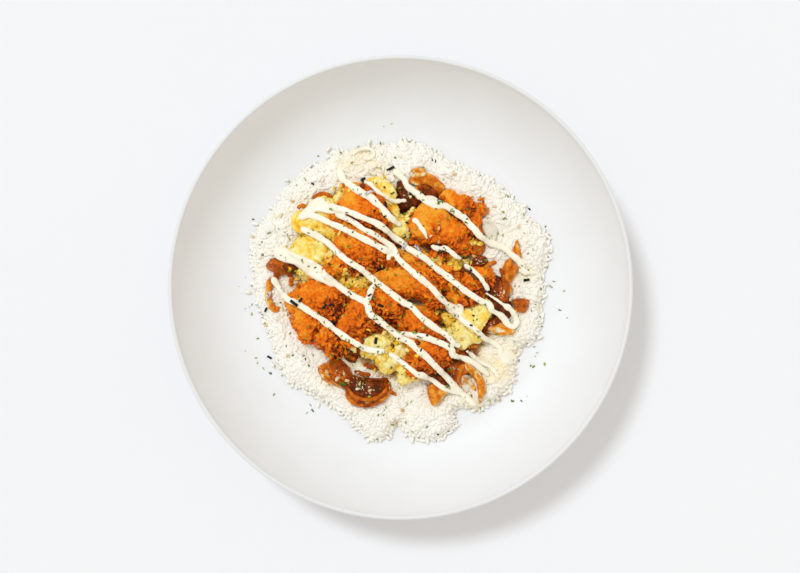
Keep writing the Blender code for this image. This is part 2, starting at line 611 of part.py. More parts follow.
def rice_height(spots, outline):
    """Height of the bed of rice over the bowl, without its grains."""
    radius = np.linalg.norm(spots, axis=1)
    level = RICE_CENTRE_HEIGHT + (RICE_EDGE_HEIGHT - RICE_CENTRE_HEIGHT) * (radius / FLOOR_RADIUS) ** 2
    mounds = np.array([noise.noise(Vector((x, y, 0.0)) / RICE_MOUND_SIZE) for x, y in spots])
    shoulder = 1 - np.exp(-distance_to_outline(spots, outline) / RICE_SHOULDER)
    return RICE_RIM_LEVEL + (level + RICE_MOUND * mounds - RICE_RIM_LEVEL) * shoulder


def scatter(rng, spacing, allowed, taken):
    """Points at least the spacing apart, where they are allowed."""
    spots = [np.array(spot) for spot in taken]
    cells = {}
    for index, spot in enumerate(spots):
        cells.setdefault(tuple((spot // spacing).astype(int)), []).append(index)
    found = []
    tries = int(TRIES_PER_CELL * (2 * MAP_HALF / spacing) ** 2)
    for _ in range(tries):
        spot = np.array([rng.uniform(-MAP_HALF, MAP_HALF), rng.uniform(-MAP_HALF, MAP_HALF)])
        if not allowed(spot):
            continue
        home = (spot // spacing).astype(int)
        near = [index for i in (-1, 0, 1) for j in (-1, 0, 1)
                for index in cells.get((home[0] + i, home[1] + j), [])]
        if all(np.linalg.norm(spots[index] - spot) >= spacing for index in near):
            cells.setdefault(tuple(home), []).append(len(spots))
            spots.append(spot)
            found.append(spot)
    return found


def flat_triangles(rim, inner):
    """Triangles over a closed outline and the points inside it."""
    spots = [Vector(spot) for spot in np.vstack([rim, inner])]
    result = geometry.delaunay_2d_cdt(spots, [], [list(range(len(rim)))], 1, 1e-7)
    return np.array([tuple(spot) for spot in result[0]]), result[2]


def covered_by_toppings(heights):
    """Where the toppings hide the rice, as a grid."""
    hidden = np.zeros(heights.level.shape, dtype=bool)
    for group in (ONION_CHUNKS, EGG_CURDS, CHICKEN_PIECES):
        for outline in group.values():
            hidden |= inside_outline(heights.x, heights.y, np.array([plan(point) for point in outline]))
    for axis in (0, 1):
        for _ in range(3):
            hidden &= np.roll(hidden, 1, axis=axis) & np.roll(hidden, -1, axis=axis)
    return hidden


def add_rice(heights, material):
    """The bed of rice: bumps as large as grains where it shows, and a flat underside."""
    rng = random.Random(RICE_SEED)
    rim = even(spline([plan(point, RICE_SCALE) for point in RICE_OUTLINE], True), RICE_RIM_POINTS, True)
    rim *= 1 + np.array([rng.uniform(-RICE_RIM_WAVER, RICE_RIM_WAVER) for _ in rim])[:, None]
    hidden = covered_by_toppings(heights)
    open_ground = inside_outline(heights.x, heights.y, rim)
    margin = int(GRAIN_LENGTH / 3 / CELL)
    shrunk = open_ground.copy()
    for shift in range(1, margin + 1):
        for axis in (0, 1):
            shrunk &= np.roll(open_ground, shift, axis=axis) & np.roll(open_ground, -shift, axis=axis)

    def shows(spot):
        cell = heights.cells(*spot)
        return bool(shrunk[cell] and not hidden[cell])

    def is_hidden(spot):
        cell = heights.cells(*spot)
        return bool(shrunk[cell] and hidden[cell])

    ridges = []
    for spot in scatter(rng, GRAIN_SPACING, shows, []):
        turn = rng.uniform(0, math.pi)
        along = np.array([math.cos(turn), math.sin(turn)]) * GRAIN_LENGTH / 3
        ridges.extend(end for end in (spot - along, spot + along) if shows(end))
    dips = scatter(rng, DIP_SPACING, shows, ridges)
    rest = scatter(rng, HIDDEN_SPACING, is_hidden, dips)
    inner = np.array(ridges + dips + rest)
    spots, top_faces = flat_triangles(rim, inner)
    heights_above = rice_height(spots, rim)
    for index in range(len(rim), len(rim) + len(ridges)):
        heights_above[index] += GRAIN_BUMP * rng.uniform(*GRAIN_BUMP_RANGE)
    heights_above[:len(rim)] += [rng.uniform(*RICE_RIM_BUMPS) for _ in rim]
    top = np.column_stack([spots, heights_above + bowl_surface(np.linalg.norm(spots, axis=1))])

    tuck = rim * (1 - RICE_UNDERCUT / np.linalg.norm(rim, axis=1))[:, None]
    below = scatter(rng, UNDERSIDE_SPACING, lambda spot: bool(shrunk[heights.cells(*spot)]), [])
    under_spots, under_faces = flat_triangles(tuck, np.array(below))
    under_level = bowl_surface(np.linalg.norm(under_spots, axis=1)) + GAP
    offset = len(top)
    points = np.vstack([top, np.column_stack([under_spots, under_level])])
    faces = [tuple(face) for face in top_faces]
    faces += [tuple(offset + index for index in reversed(face)) for face in under_faces]
    for index in range(len(rim)):
        after = (index + 1) % len(rim)
        faces.append((index, offset + index, offset + after))
        faces.append((index, offset + after, after))
    heights.stamp("rice", points, top_faces)
    return make_object("rice", points, faces, material)


def add_bowl(material):
    """The turned bowl: floor, steepening wall, round lip, outer wall and foot ring."""
    wall_radii = np.linspace(FLOOR_RADIUS, BOWL_RADIUS - LIP_THICKNESS, WALL_STEPS + 1)
    inner = [(radius, float(bowl_surface(radius))) for radius in wall_radii]
    inner[0] = (FLOOR_RADIUS, BOWL_FLOOR)
    lip_middle = BOWL_RADIUS - LIP_THICKNESS / 2
    lip_height = BOWL_HEIGHT - LIP_THICKNESS / 2
    lip = [(lip_middle + LIP_THICKNESS / 2 * math.cos(turn), lip_height + LIP_THICKNESS / 2 * math.sin(turn))
           for turn in map(math.radians, LIP_TURNS)]
    outer = []
    for radius in wall_radii[-2::-1]:
        share = (radius - FLOOR_RADIUS) / (BOWL_RADIUS - LIP_THICKNESS - FLOOR_RADIUS)
        thick = BASE_THICKNESS + (LIP_THICKNESS - BASE_THICKNESS) * share
        angle = float(wall_angle(radius))
        inside = float(bowl_surface(radius))
        outer.append((radius + thick * math.sin(angle), inside - thick * math.cos(angle)))
    foot = [(FOOT_OUTER_RADIUS + FOOT_TAPER, outer[-1][1]), (FOOT_OUTER_RADIUS, 0.0),
            (FOOT_INNER_RADIUS, 0.0), (FOOT_INNER_RADIUS - FOOT_TAPER, RECESS_HEIGHT)]
    profile = inner + lip + outer + foot
    points = [(0.0, 0.0, BOWL_FLOOR)]
    for radius, height in profile:
        for index in range(BOWL_SEGMENTS):
            turn = 2 * math.pi * index / BOWL_SEGMENTS
            points.append((radius * math.cos(turn), radius * math.sin(turn), height))
    points.append((0.0, 0.0, RECESS_HEIGHT))
    rings = [list(range(1 + k * BOWL_SEGMENTS, 1 + (k + 1) * BOWL_SEGMENTS)) for k in range(len(profile))]
    faces = []
    for index in range(BOWL_SEGMENTS):
        after = (index + 1) % BOWL_SEGMENTS
        faces.append((0, rings[0][index], rings[0][after]))
        faces.append((len(points) - 1, rings[-1][after], rings[-1][index]))
        for upper, lower in zip(rings, rings[1:]):
            faces.append((upper[index], lower[index], lower[after], upper[after]))
    bowl = make_object("bowl", points, faces, material)
    bowl.data.set_sharp_from_angle(angle=math.radians(50))
    return bowl


def bead_solid(name, path, radius, material):
    """One run of mayonnaise: a tube with pointed ends."""
    count = len(path)
    points = []
    for index in range(count):
        ahead = path[min(index + 1, count - 1)] - path[max(index - 1, 0)]
        side = np.array([ahead[1], -ahead[0], 0.0])
        side /= np.linalg.norm(side)
        taper = BEAD_END_TAPER if index in (0, count - 1) else 1.0
        for k in range(BEAD_SIDES):
            turn = 2 * math.pi * (k + 0.25) / BEAD_SIDES
            across = math.cos(turn) * side + math.sin(turn) * np.array([0.0, 0.0, BEAD_FLATNESS])
            points.append(path[index] + across * radius * taper)
    faces = []
    for index in range(count - 1):
        for k in range(BEAD_SIDES):
            a = BEAD_SIDES * index + k
            b = BEAD_SIDES * index + (k + 1) % BEAD_SIDES
            faces.append((a, b, b + BEAD_SIDES, a + BEAD_SIDES))
    faces.append(tuple(reversed(range(BEAD_SIDES))))
    faces.append(tuple(range(BEAD_SIDES * (count - 1), BEAD_SIDES * count)))
    return make_object(name, points, faces, material)


def owner_of_run(heights, start, end, radius):
    """The piece that a bead from start to end lies on, if it keeps clear of all others."""
    name = heights.owner[heights.cells(*((start + end) / 2)[:2])]
    if not name:
        return None
    others = np.where(heights.owner == name, heights.under[name], heights.level)
    along = end - start
    side = np.array([along[1], -along[0]]) / np.linalg.norm(along[:2])
    for t in np.linspace(0, 1, 8):
        middle = start + along * t
        surface = heights.level[heights.cells(*middle[:2])]
        if heights.owner[heights.cells(*middle[:2])] != name or surface < middle[2] - radius * BEAD_FLATNESS:
            return None
        for across in np.linspace(-radius - GAP, radius + GAP, 9):
            spot = middle[:2] + side * across
            drop = BEAD_FLATNESS * math.sqrt(max(radius ** 2 - across ** 2, 0))
            if others[heights.cells(*spot)] > middle[2] - drop - 2 * GAP:
                return None
    return name


def mayo_runs(heights):
    """The stretches of each strand that lie on one piece, by piece."""
    runs = {}
    for width, route in MAYO_STRANDS.values():
        curve = spline([plan(point) for point in route], False)
        length = np.linalg.norm(np.diff(curve, axis=0), axis=1).sum()
        flat = even(curve, int(length / BEAD_STEP) + 1, False)
        radius = width * PLAN_SCALE / 2
        level = heights.level[heights.cells(flat[:, 0], flat[:, 1])]
        path = np.column_stack([flat, level + radius * BEAD_RISE])
        owners = [owner_of_run(heights, path[k], path[k + 1], radius) for k in range(len(path) - 1)]
        start = 0
        while start < len(owners):
            end = start
            while end < len(owners) and owners[end] == owners[start]:
                end += 1
            if owners[start]:
                runs.setdefault(owners[start], []).append((path[start:end + 1], radius))
            start = end
    return runs


def small_solid(name, corners, place, turn, lean, material):
    """A small solid from a few corners, turned, leaned and set on its place."""
    hull = bmesh.new()
    cos, sin = math.cos(turn), math.sin(turn)
    for x, y, z in corners:
        z += x * lean
        hull.verts.new((place[0] + x * cos - y * sin, place[1] + x * sin + y * cos, place[2] + z))
    bmesh.ops.convex_hull(hull, input=hull.verts)
    mesh = bpy.data.meshes.new(name)
    hull.to_mesh(mesh)
    hull.free()
    mesh.materials.append(material)
    item = bpy.data.objects.new(name, mesh)
    bpy.context.scene.collection.objects.link(item)
    return item


def seed_corners():
    """Corners of a sesame seed: two ends and the rings between them."""
    corners = [(-SEED_LENGTH / 2, 0.0, 0.0), (SEED_LENGTH / 2, 0.0, 0.0)]
    for share, width in SEED_RINGS:
        for k in range(SEED_SIDES):
            turn = math.tau * k / SEED_SIDES
            corners.append((share * SEED_LENGTH, width * SEED_WIDTH / 2 * math.cos(turn),
                            SEED_FLATNESS * width * SEED_WIDTH / 2 * math.sin(turn)))
    return corners


def nori_corners(length, width):
    return [(sx * length / 2, sy * width / 2, sz * NORI_THICKNESS / 2)
            for sx in (-1, 1) for sy in (-1, 1) for sz in (-1, 1)]


def topping_on(heights, spot, reach):
    """The piece that a small topping lies on, if it keeps clear of the others."""
    row, column = heights.cells(*spot)
    name = heights.owner[row, column]
    if not name:
        return None
    cells = int(math.ceil(reach / CELL)) + 1
    window = (slice(row - cells, row + cells + 1), slice(column - cells, column + cells + 1))
    others = np.where(heights.owner[window] == name, heights.under[name][window], heights.level[window])
    return name if others.max() < heights.level[row, column] - THINNEST else None


def small_toppings(heights, material):
    """Seeds and strips of nori, by the piece that they are fused to."""
    made = {}
    for index, (x, y, turn, length, width) in enumerate(NORI_STRIPS):
        spot = plan((x, y))
        name = topping_on(heights, spot, length * PLAN_SCALE / 2)
        if name:
            place = (*spot, heights.level[heights.cells(*spot)] + NORI_THICKNESS / 2)
            corners = nori_corners(length * PLAN_SCALE, width * PLAN_SCALE)
            made.setdefault(name, []).append(
                small_solid(f"nori_{index}", corners, place, math.radians(turn), NORI_LEAN, material))
    for index, (x, y, turn) in enumerate(SESAME_SEEDS):
        spot = plan((x, y))
        name = topping_on(heights, spot, SEED_LENGTH / 2)
        if name:
            place = (*spot, heights.level[heights.cells(*spot)] + SEED_WIDTH / 8)
            made.setdefault(name, []).append(
                small_solid(f"seed_{index}", seed_corners(), place, math.radians(turn), 0.0, material))
    return made


def keep_largest_body(item):
    """Drop loose scraps and sealed hollows that fusing leaves."""
    body = bmesh.new()
    body.from_mesh(item.data)
    unseen = set(body.verts)
    groups = []
    while unseen:
        edge = [unseen.pop()]
        group = set(edge)
        while edge:
            for link in edge.pop().link_edges:
                for vert in link.verts:
                    if vert in unseen:
                        unseen.remove(vert)
                        group.add(vert)
                        edge.append(vert)
        groups.append(group)
    largest = max(groups, key=len)
    bmesh.ops.delete(body, geom=[vert for vert in body.verts if vert not in largest], context="VERTS")
    bmesh.ops.dissolve_degenerate(body, edges=body.edges, dist=1e-6)
    bmesh.ops.triangulate(body, faces=body.faces)
    body.to_mesh(item.data)
    body.free()


def fuse(item, extras):
    """Join small pieces to the one that they lie on, as one body."""
    group = bpy.data.collections.new(item.name + "_extras")
    bpy.context.scene.collection.children.link(group)
    for extra in extras:
        bpy.context.scene.collection.objects.unlink(extra)
        group.objects.link(extra)
    union = item.modifiers.new("union", "BOOLEAN")
    union.operation = "UNION"
    union.operand_type = "COLLECTION"
    union.collection = group
    union.solver = "EXACT"
    bpy.context.view_layer.update()
    evaluated = item.evaluated_get(bpy.context.evaluated_depsgraph_get())
    mesh = bpy.data.meshes.new_from_object(evaluated)
    item.modifiers.clear()
    item.data = mesh
    for extra in extras:
        bpy.data.objects.remove(extra, do_unlink=True)
    bpy.data.collections.remove(group)
    keep_largest_body(item)


def build():
    clear_scene()
    glaze = make_material("white_glaze", (0.86, 0.85, 0.83), 0.35)
    rice_white = make_material("rice", (0.88, 0.83, 0.74), 0.6)
    onion_brown = make_material("braised_onion", (0.45, 0.14, 0.02), 0.3)
    egg_yellow = make_material("scrambled_egg", (0.90, 0.62, 0.14), 0.5)
    crust = make_material("fried_chicken", (0.62, 0.21, 0.03), 0.5)
    mayo = make_material("mayonnaise", (0.95, 0.86, 0.62), 0.35)
    nori = make_material("nori_and_sesame", (0.05, 0.06, 0.04), 0.6)

    heights = HeightMap()
    items = {"bowl": add_bowl(glaze), "rice": add_rice(heights, rice_white)}
    for name, outline in ONION_CHUNKS.items():
        items[name] = add_chunk(heights, name, outline, ONION, onion_brown)
    for name, (width, route) in ONION_STRIPS.items():
        items[name] = add_strip(heights, name, width, route, onion_brown)
    for name, outline in EGG_CURDS.items():
        items[name] = add_chunk(heights, name, under_strands(outline), EGG, egg_yellow)
    for name, outline in CHICKEN_PIECES.items():
        items[name] = add_chunk(heights, name, under_strands(outline), CHICKEN, crust)

    extras = small_toppings(heights, nori)
    number = 0
    for name, runs in mayo_runs(heights).items():
        for path, radius in runs:
            extras.setdefault(name, []).append(bead_solid(f"mayo_{number}", path, radius, mayo))
            number += 1
    for name, pieces in extras.items():
        fuse(items[name], pieces)


build()
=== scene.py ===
"""Looks of the bowl of chicken mayo rice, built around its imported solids.

Lengths are in metres, +Z is up, and the origin is on the table under the middle of the foot.
Places and outlines in plan are in pixels of the photograph, which looks straight down.
"""

import math
import random

import bmesh
import bpy
import numpy as np
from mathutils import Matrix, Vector, geometry, noise

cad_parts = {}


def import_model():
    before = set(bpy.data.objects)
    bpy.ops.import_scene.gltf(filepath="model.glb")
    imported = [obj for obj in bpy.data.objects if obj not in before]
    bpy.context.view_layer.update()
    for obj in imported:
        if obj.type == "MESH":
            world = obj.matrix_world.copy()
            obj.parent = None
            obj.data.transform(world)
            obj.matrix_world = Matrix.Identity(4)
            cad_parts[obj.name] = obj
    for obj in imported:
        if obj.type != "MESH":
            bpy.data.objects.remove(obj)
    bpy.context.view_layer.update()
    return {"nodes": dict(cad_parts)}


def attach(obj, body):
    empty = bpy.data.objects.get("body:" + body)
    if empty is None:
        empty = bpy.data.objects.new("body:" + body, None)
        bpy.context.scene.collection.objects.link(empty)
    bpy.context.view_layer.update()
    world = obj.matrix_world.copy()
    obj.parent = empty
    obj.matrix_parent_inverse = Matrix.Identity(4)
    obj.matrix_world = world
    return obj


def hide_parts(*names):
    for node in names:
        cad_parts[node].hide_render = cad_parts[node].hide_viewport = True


# Photograph and camera, and how a pixel is followed down to the food: the first level and the rounds
CAMERA_PLACE = (-0.00024, 0.00054, 1.003)
CAMERA_LENS = 71.2
CAMERA_SENSOR = 36.0
FOCAL_PIXELS = 1583.0
EXPOSURE = 0.0
FIRST_LEVEL = 0.03
SIGHT_ROUNDS = 4

# Light
KEY_FROM = (-0.656, 0.755)
KEY_ELEVATION = math.radians(59.5)
KEY_STRENGTH = 1.23
KEY_ANGLE = math.radians(12)
KEY_COLOUR = (0.92, 1.0, 1.115)
FILL_STRENGTH = 0.70
FILL_COLOUR = (1.029, 1.0, 0.935)
FILL_LEAN = (0.07, -0.04, 0.0)
FLOOR_HALF = 3.0

# The fill near the horizon: the heights between which it fades, and how strong it is below them
FILL_LOW = (0.0, 0.5, 1.13)

# Fineness of what is seen
BOWL_FINE_SEGMENTS = 240
BOWL_FINE_STEPS = 26
BOWL_FLOOR_RINGS = 14
BOWL_LIP_RINGS = 12
BOWL_LIP_START = 165
BOWL_RECESS_RINGS = (0.045, 0.02)
TOP_CELL = 0.0004
TOP_HALF = 0.122
CRUST_VOXEL = 0.00055
EGG_VOXEL = 0.0006
ONION_VOXEL = 0.00045
MAYO_VOXEL = 0.0006

# Edge of the rice as it is seen: how it sways, thins out and spills
RIM_POINTS = 300
RIM_SWAY = 0.012
RIM_SWAY_SIZE = 0.005
RIM_REACH = 0.006
RIM_THINNEST = 0.45
RICE_SPILL = 0.0003
RAGGED_DEPTH = 0.0016
RAGGED_SIZE = 0.007

# Packed rice under the grains
CORE_STEP = 0.0016
CORE_JITTER = 0.3
CORE_SEED = 5
CORE_RAISE = 0.0001
CORE_RELIEF = 0.0006
CORE_RELIEF_SIZE = 0.0035
CORE_INSET = 0.0010
CORE_LEAST = 0.0008
CORE_CLEAR = 0.6
RICE_MOUNDS = 0.0016
MOUNDS_REACH = 0.005
SWELL_SIZES = (0.010, 0.0045)

# Loose grains, and their layers: spacing, seed, lowest and highest place, and tilt in degrees
GRAIN_LENGTH = 0.0047
GRAIN_WIDTH = 0.0024
GRAIN_SIDES = 5
GRAIN_STATIONS = (-0.37, 0.0, 0.37)
GRAIN_BLUNTNESS = 2.4
GRAIN_SEED = 23
GRAIN_BEND = 12
GRAIN_CLEARANCE = 0.0001
GRAINS_IN_SAUCE = (0.55, 0.7)
STRAY_REACH = 0.0050
STRAY_LIFT = 0.0002
TRIES_PER_CELL = 5
GRAIN_LAYERS = {
    "packed": (0.0018, 31, (-0.0008, -0.0003), 10), "loose": (0.0026, 32, (-0.0004, 0.0001), 12),
    "heaped": (0.0036, 33, (0.0000, 0.0006), 16), "stray": (0.0200, 34, (-0.0004, 0.0), 8),
}

# Sauce and painted shade on the rice under the toppings, and the warmth painted beside them to offset their
# red light
PATCH_FALL = 0.7
SAUCE_AND_SHADE_DEPTH = 0.62
SAUCE_AND_SHADE_REACH = 0.006
WARMTH = 0.16
WARMTH_REACH = 0.012

# Crust: the size and the depth of each kind of feature
CRUST_SIZES = {
    "patch": 0.011, "big": 0.0080, "warp": 0.0060, "fold": 0.0058, "blotch": 0.0050, "lump": 0.0030,
    "flake": 0.0029, "blister": 0.0022, "grit": 0.0016,
}
CRUST_DEPTHS = {
    "big": 0.0007, "warp": 0.0030, "fold": 0.00038, "flake": 0.00044, "blister": 0.00042,
    "lump": 0.0011, "grit": 0.00032,
}
CRUST_EDGE = 0.0022

# Curds of egg: the size and the depth of each kind of feature
CURD_SIZES = {
    "yolk": 0.008, "lump": 0.0060, "warp": 0.0050, "curd": 0.0042, "small": 0.0021, "wave": 0.0012,
}
CURD_DEPTHS = {"lump": 0.0008, "warp": 0.0020, "curd": 0.0006, "small": 0.00042, "wave": 0.00012}

# Onion
ONION_SIZES = {"bend": 0.006, "blotch": 0.005, "swell": 0.004}
LEAF_HOLLOW = 0.0011
HOLLOW_REACH = (0.0006, 0.0030)
VEIN_PITCH = 0.0011
VEIN_DEPTH = 0.00018
SWELL_DEPTH = 0.0006
LEAF_EDGE = 0.0007

# Thin leaves of onion: their points, waves and veins
SHEET_AROUND = 56
SHEET_SHARES = (0.16, 0.32, 0.48, 0.62, 0.75, 0.86, 0.95, 1.0)
SHEET_SEED = 61
SHEET_SIZES = {
    "bend": 0.006, "fold": 0.005, "blotch": 0.004, "torn": 0.0026, "crease": 0.0022, "patch": 0.0020,
}
SHEET_TORN = 0.10
SHEET_REACH = 0.0016
SHEET_FOLD = 0.0005
SHEET_CREASE = 0.0001
SHEET_DEEP_CREASE = 0.0005
SHEET_VEIN_PITCH = 0.0007
SHEET_VEIN = 0.00012
SHEET_BELOW = 0.0010
SAUCY = 0.65

# Mayonnaise: strands narrower than the loose width, in pixels, are more uneven
POUR_STEP = 0.0009
POUR_EASE = 5
POUR_REACH = 0.0012
POUR_FLATNESS = 0.46
POUR_RISE = 0.45
WAVER_SIZE = 0.007
WAVER_SHARE = 0.24
PULSE_SIZE = 0.0025
PULSE_SHARE = 0.18
LOOSE_WIDTH = 6.0
LOOSENESS = 1.7
PAD_AROUND = 36
PAD_SHARES = (0.3, 0.55, 0.75, 0.9, 1.0)
PAD_REACHES = (0.0016, 0.0034, 0.0060)
PAD_BELOW = (0.0022, 0.0008)

# Small things
PLATE_STATIONS = (-0.5, -0.17, 0.17, 0.5)
SMALL_SEED = 41
SMALL_MIDDLE = (398, 292)
HERB_COUNT = 820
HERB_RADIUS = 0.106
HERB_SPREADS = (0.030, 0.045, 0.045, 0.065)
HERB_LENGTHS = (0.0007, 0.0020)
HERB_CLUMP_LEAST = 0.0010
HERB_THICKNESS = 0.00016
HERB_LIFT = 0.00022
NORI_BITS = 30
NORI_RADIUS = 0.105
NORI_SPREAD = (0.045, 0.042)
LEAN_REACH = 0.0012
LEAN_MOST = 0.9
BIT_POINTS = 16
BIT_HALF_HEIGHT = 0.0009
BIT_LIFT = 0.0003
SPECK_SEED = 53
SPECKS_EACH = 9
SPECK_SIZES = (0.0005, 0.0011)

# How craggy and how brown each chunk is
CHICKEN_LOOK = {
    "chicken_upper_right": (0.35, -0.05), "chicken_top_left": (0.4, 0.06),
    "chicken_upper_middle": (0.6, -0.03), "chicken_left": (0.5, 0.08), "chicken_bottom_left": (0.8, -0.04),
    "chicken_small_centre": (0.8, -0.03), "chicken_lower_strip": (0.5, 0.18),
    "chicken_middle_left": (0.65, 0.12), "chicken_lower_left": (0.45, -0.03),
    "chicken_middle": (0.4, -0.05), "chicken_bottom": (0.5, 0.12), "chicken_top_right": (0.4, -0.05),
    "chicken_tip_right": (0.75, -0.08), "chicken_small_left": (0.55, -0.08),
    "chicken_small_middle": (0.6, 0.06), "chicken_chip_top_right": (0.6, 0.0),
    "chicken_long_upper": (0.5, -0.13), "chicken_long_lower": (0.5, -0.1),
    "chicken_long_lower_tip": (0.55, -0.06),
}
EGG_YOLK = {
    "egg_bottom_left": 0.66, "egg_bottom_middle": 0.66, "egg_bottom_right": 0.64, "egg_right": 0.7,
    "egg_lower_right": 0.56, "egg_small_right": 0.9, "egg_top_left": 0.66, "egg_top": 0.7,
    "egg_centre_top": 0.66, "egg_middle_left": 0.88, "egg_upper_left": 0.8, "egg_small_left": 0.55,
}
ONION_DARKNESS = {
    "onion_dark_top": 0.86, "onion_ring_sauce": 0.74, "onion_ring_inner": 0.62, "onion_ring_outer": 0.36,
    "onion_flat_bottom": 0.26, "onion_arc_lower_right": 0.08, "onion_strip_dark_bottom": 0.66,
    "onion_heap_lower_right": 0.38, "onion_pale_right": -0.12, "onion_olive_right": 0.36,
    "onion_dark_right": 0.7, "onion_dark_lower_right": 0.86, "onion_strip_dark_right": 0.62,
    "onion_leaf_right": 0.15, "onion_square_right": 0.42, "onion_strip_right": 0.3,
    "onion_corner_right": 0.28, "onion_left_heap": 0.5, "onion_strip_left_hook": 0.25,
    "onion_wedge_lower_left": 0.45, "onion_shell_top": 0.28, "onion_arc_top": 0.3,
    "onion_strip_upper_left": 0.3,
}

# Browner and craggier patches of the crust: place, reach and depth
SCORCHED = [
    (437, 234, 8, 0.19), (447, 243, 6, 0.12), (330, 305, 9, 0.1), (340, 310, 6, 0.13),
    (329, 340, 10, 0.07), (376, 258, 9, 0.12), (372, 306, 8, 0.07), (386, 318, 7, 0.09),
    (420, 356, 9, 0.05), (465, 285, 8, 0.06), (438, 280, 8, 0.05), (354, 318, 7, 0.08),
    (396, 262, 6, 0.09), (474, 215, 6, 0.06), (312, 332, 6, 0.05),
]

# Bowl
BOWL_RADIUS = 0.140
BOWL_HEIGHT = 0.052
BOWL_FLOOR = 0.0128
FLOOR_RADIUS = 0.096
WALL_START_ANGLE = math.radians(8)
WALL_END_ANGLE = math.radians(68)
LIP_THICKNESS = 0.0028
BASE_THICKNESS = 0.0055
FOOT_OUTER_RADIUS = 0.0715
FOOT_INNER_RADIUS = 0.0655
FOOT_TAPER = 0.0015
RECESS_HEIGHT = 0.006
FOOT_FILLET = 0.0012
FOOT_ROUND = 0.0008
FOOT_BEVEL = 0.0002
BASE_REACH = 0.010

# Plan view
PLAN_CENTRE = (400.4, 287.4)
PLAN_SCALE = 0.000612
RICE_SCALE = 0.00062

# Stacking of the pieces, as their solids were stacked
GAP = 0.0003
CELL = 0.0005
MAP_HALF = 0.108
EDGE_SHARE = 0.02
SAMPLE_STEP = 0.0007
LIFT_ROUNDS = 14
CLEARANCE_ERROR = 1e-6
STEEPEST_LEAN = 0.3
THINNEST = 0.0014
DOME_POWER = 2.6
BELLY_SHARE = 0.4

# Kinds of chunk: the thickness as a share of the smallest width and its limits, the sectors and
# rings of points over the top, and the depth and size of the relief
FINE_RINGS = (0.15, 0.3, 0.45, 0.6, 0.72, 0.82, 0.9, 0.95, 0.98, 1.0)
ONION = {"share": 0.45, "least": 0.003, "most": 0.0055, "sectors": 40, "rings": FINE_RINGS,
         "relief": 0.0006, "relief_size": 0.006}
EGG = {"share": 0.5, "least": 0.005, "most": 0.009, "sectors": 48, "rings": FINE_RINGS,
       "relief": 0.0022, "relief_size": 0.006}
CHICKEN = {"share": 0.62, "least": 0.0075, "most": 0.0115, "sectors": 56, "rings": FINE_RINGS,
           "relief": 0.0020, "relief_size": 0.007}
UNDERSIDE_RINGS = (4, 9)

# Soft strips of onion
STRIP_STEP = 0.0020
STRIP_THICKNESS = 0.0026
STRIP_SIDES = 12
STRIP_END_LENGTH = 0.004

# Rice
RICE_OUTLINE = [
    (414, 139.5), (446.8, 157), (470, 168), (492, 180), (507, 193), (522, 207), (535, 222), (549, 236),
    (549, 254), (544.4, 272), (546, 291), (542, 311), (538, 337), (518, 352), (516, 366), (517, 380),
    (505, 395), (492, 405), (479, 410.5), (457, 410.5), (456, 426), (438, 441), (420, 441), (405, 434),
    (397, 424), (389, 437), (368, 441), (351.4, 424), (327.6, 405), (304, 392), (286.4, 380), (274, 352),
    (264.7, 326), (256, 300), (252, 270), (250, 240), (268, 212), (284, 190), (301.6, 172), (322, 160),
    (336, 150), (362, 148), (388, 143),
]
RICE_CENTRE_HEIGHT = 0.0105
RICE_EDGE_HEIGHT = 0.0082
RICE_SHOULDER = 0.0035
RICE_RIM_LEVEL = 0.0022
RICE_MOUND = 0.0015
RICE_MOUND_SIZE = 0.018

# Outlines of the pieces in plan, from the lowest to the topmost
ONION_CHUNKS = {
    "onion_left_heap": [
        (266.8, 264.6), (272, 259), (281, 262), (295.5, 265.6), (296, 270), (289, 275), (280, 275),
        (271.6, 270.4)],
    "onion_ring_sauce": [
        (351, 387.5), (357.7, 379.8), (367, 378.9), (375.8, 383.7), (373, 390), (366, 392.5),
        (357.7, 391.5)],
    "onion_wedge_lower_left": [
        (319.4, 366.4), (329, 365), (338, 364.5), (347, 370), (351, 379), (348, 386), (338.5, 384.6),
        (327, 379.8), (321.3, 374)],
    "onion_heap_lower_right": [
        (443.7, 368.4), (447, 360), (459, 362), (468.5, 369), (469, 375), (462.8, 381), (458, 384),
        (451.3, 376)],
    "onion_flat_bottom": [
        (428.4, 385.6), (434, 384.6), (443.7, 389.4), (449.4, 393.2), (443.7, 398), (439, 404.7),
        (434, 407.6), (430, 402.8), (427.4, 396)],
    "onion_dark_top": [
        (396.8, 184), (402, 181), (406, 189), (413, 195), (421, 202), (417, 207), (408, 210), (401, 212),
        (398, 204), (396.5, 194)],
    "onion_shell_top": [
        (413, 187), (424, 183.5), (432, 186), (440, 193), (436, 198), (427, 198), (418, 193)],
    "onion_pale_right": [
        (483, 218.7), (492.4, 219.7), (498.2, 229.2), (497.2, 238.8), (492.4, 242.6), (485.7, 236),
        (482, 227.3)],
    "onion_olive_right": [(472, 241.7), (478, 240.7), (483.8, 244.5), (483, 252), (478, 257), (472.4, 256)],
    "onion_dark_right": [
        (471.4, 265.6), (476.2, 259.5), (483.8, 258), (487.7, 261.5), (485.7, 266), (478, 268)],
    "onion_corner_right": [(510.6, 258.9), (518.3, 267.5), (513.5, 277), (506.8, 276), (503, 267.5)],
    "onion_dark_lower_right": [
        (492, 286), (500, 281), (505, 288.5), (510, 297), (508.5, 308), (503, 315), (495, 312),
        (490.5, 300)],
    "onion_square_right": [(514.5, 299.5), (527.8, 299), (528, 307), (524, 312), (515.4, 311)],
    "onion_leaf_right": [
        (485.7, 330), (495.3, 325.8), (506.8, 326.3), (517.3, 329.1), (513.5, 334.9), (500, 335.8),
        (491, 333.5)],
}
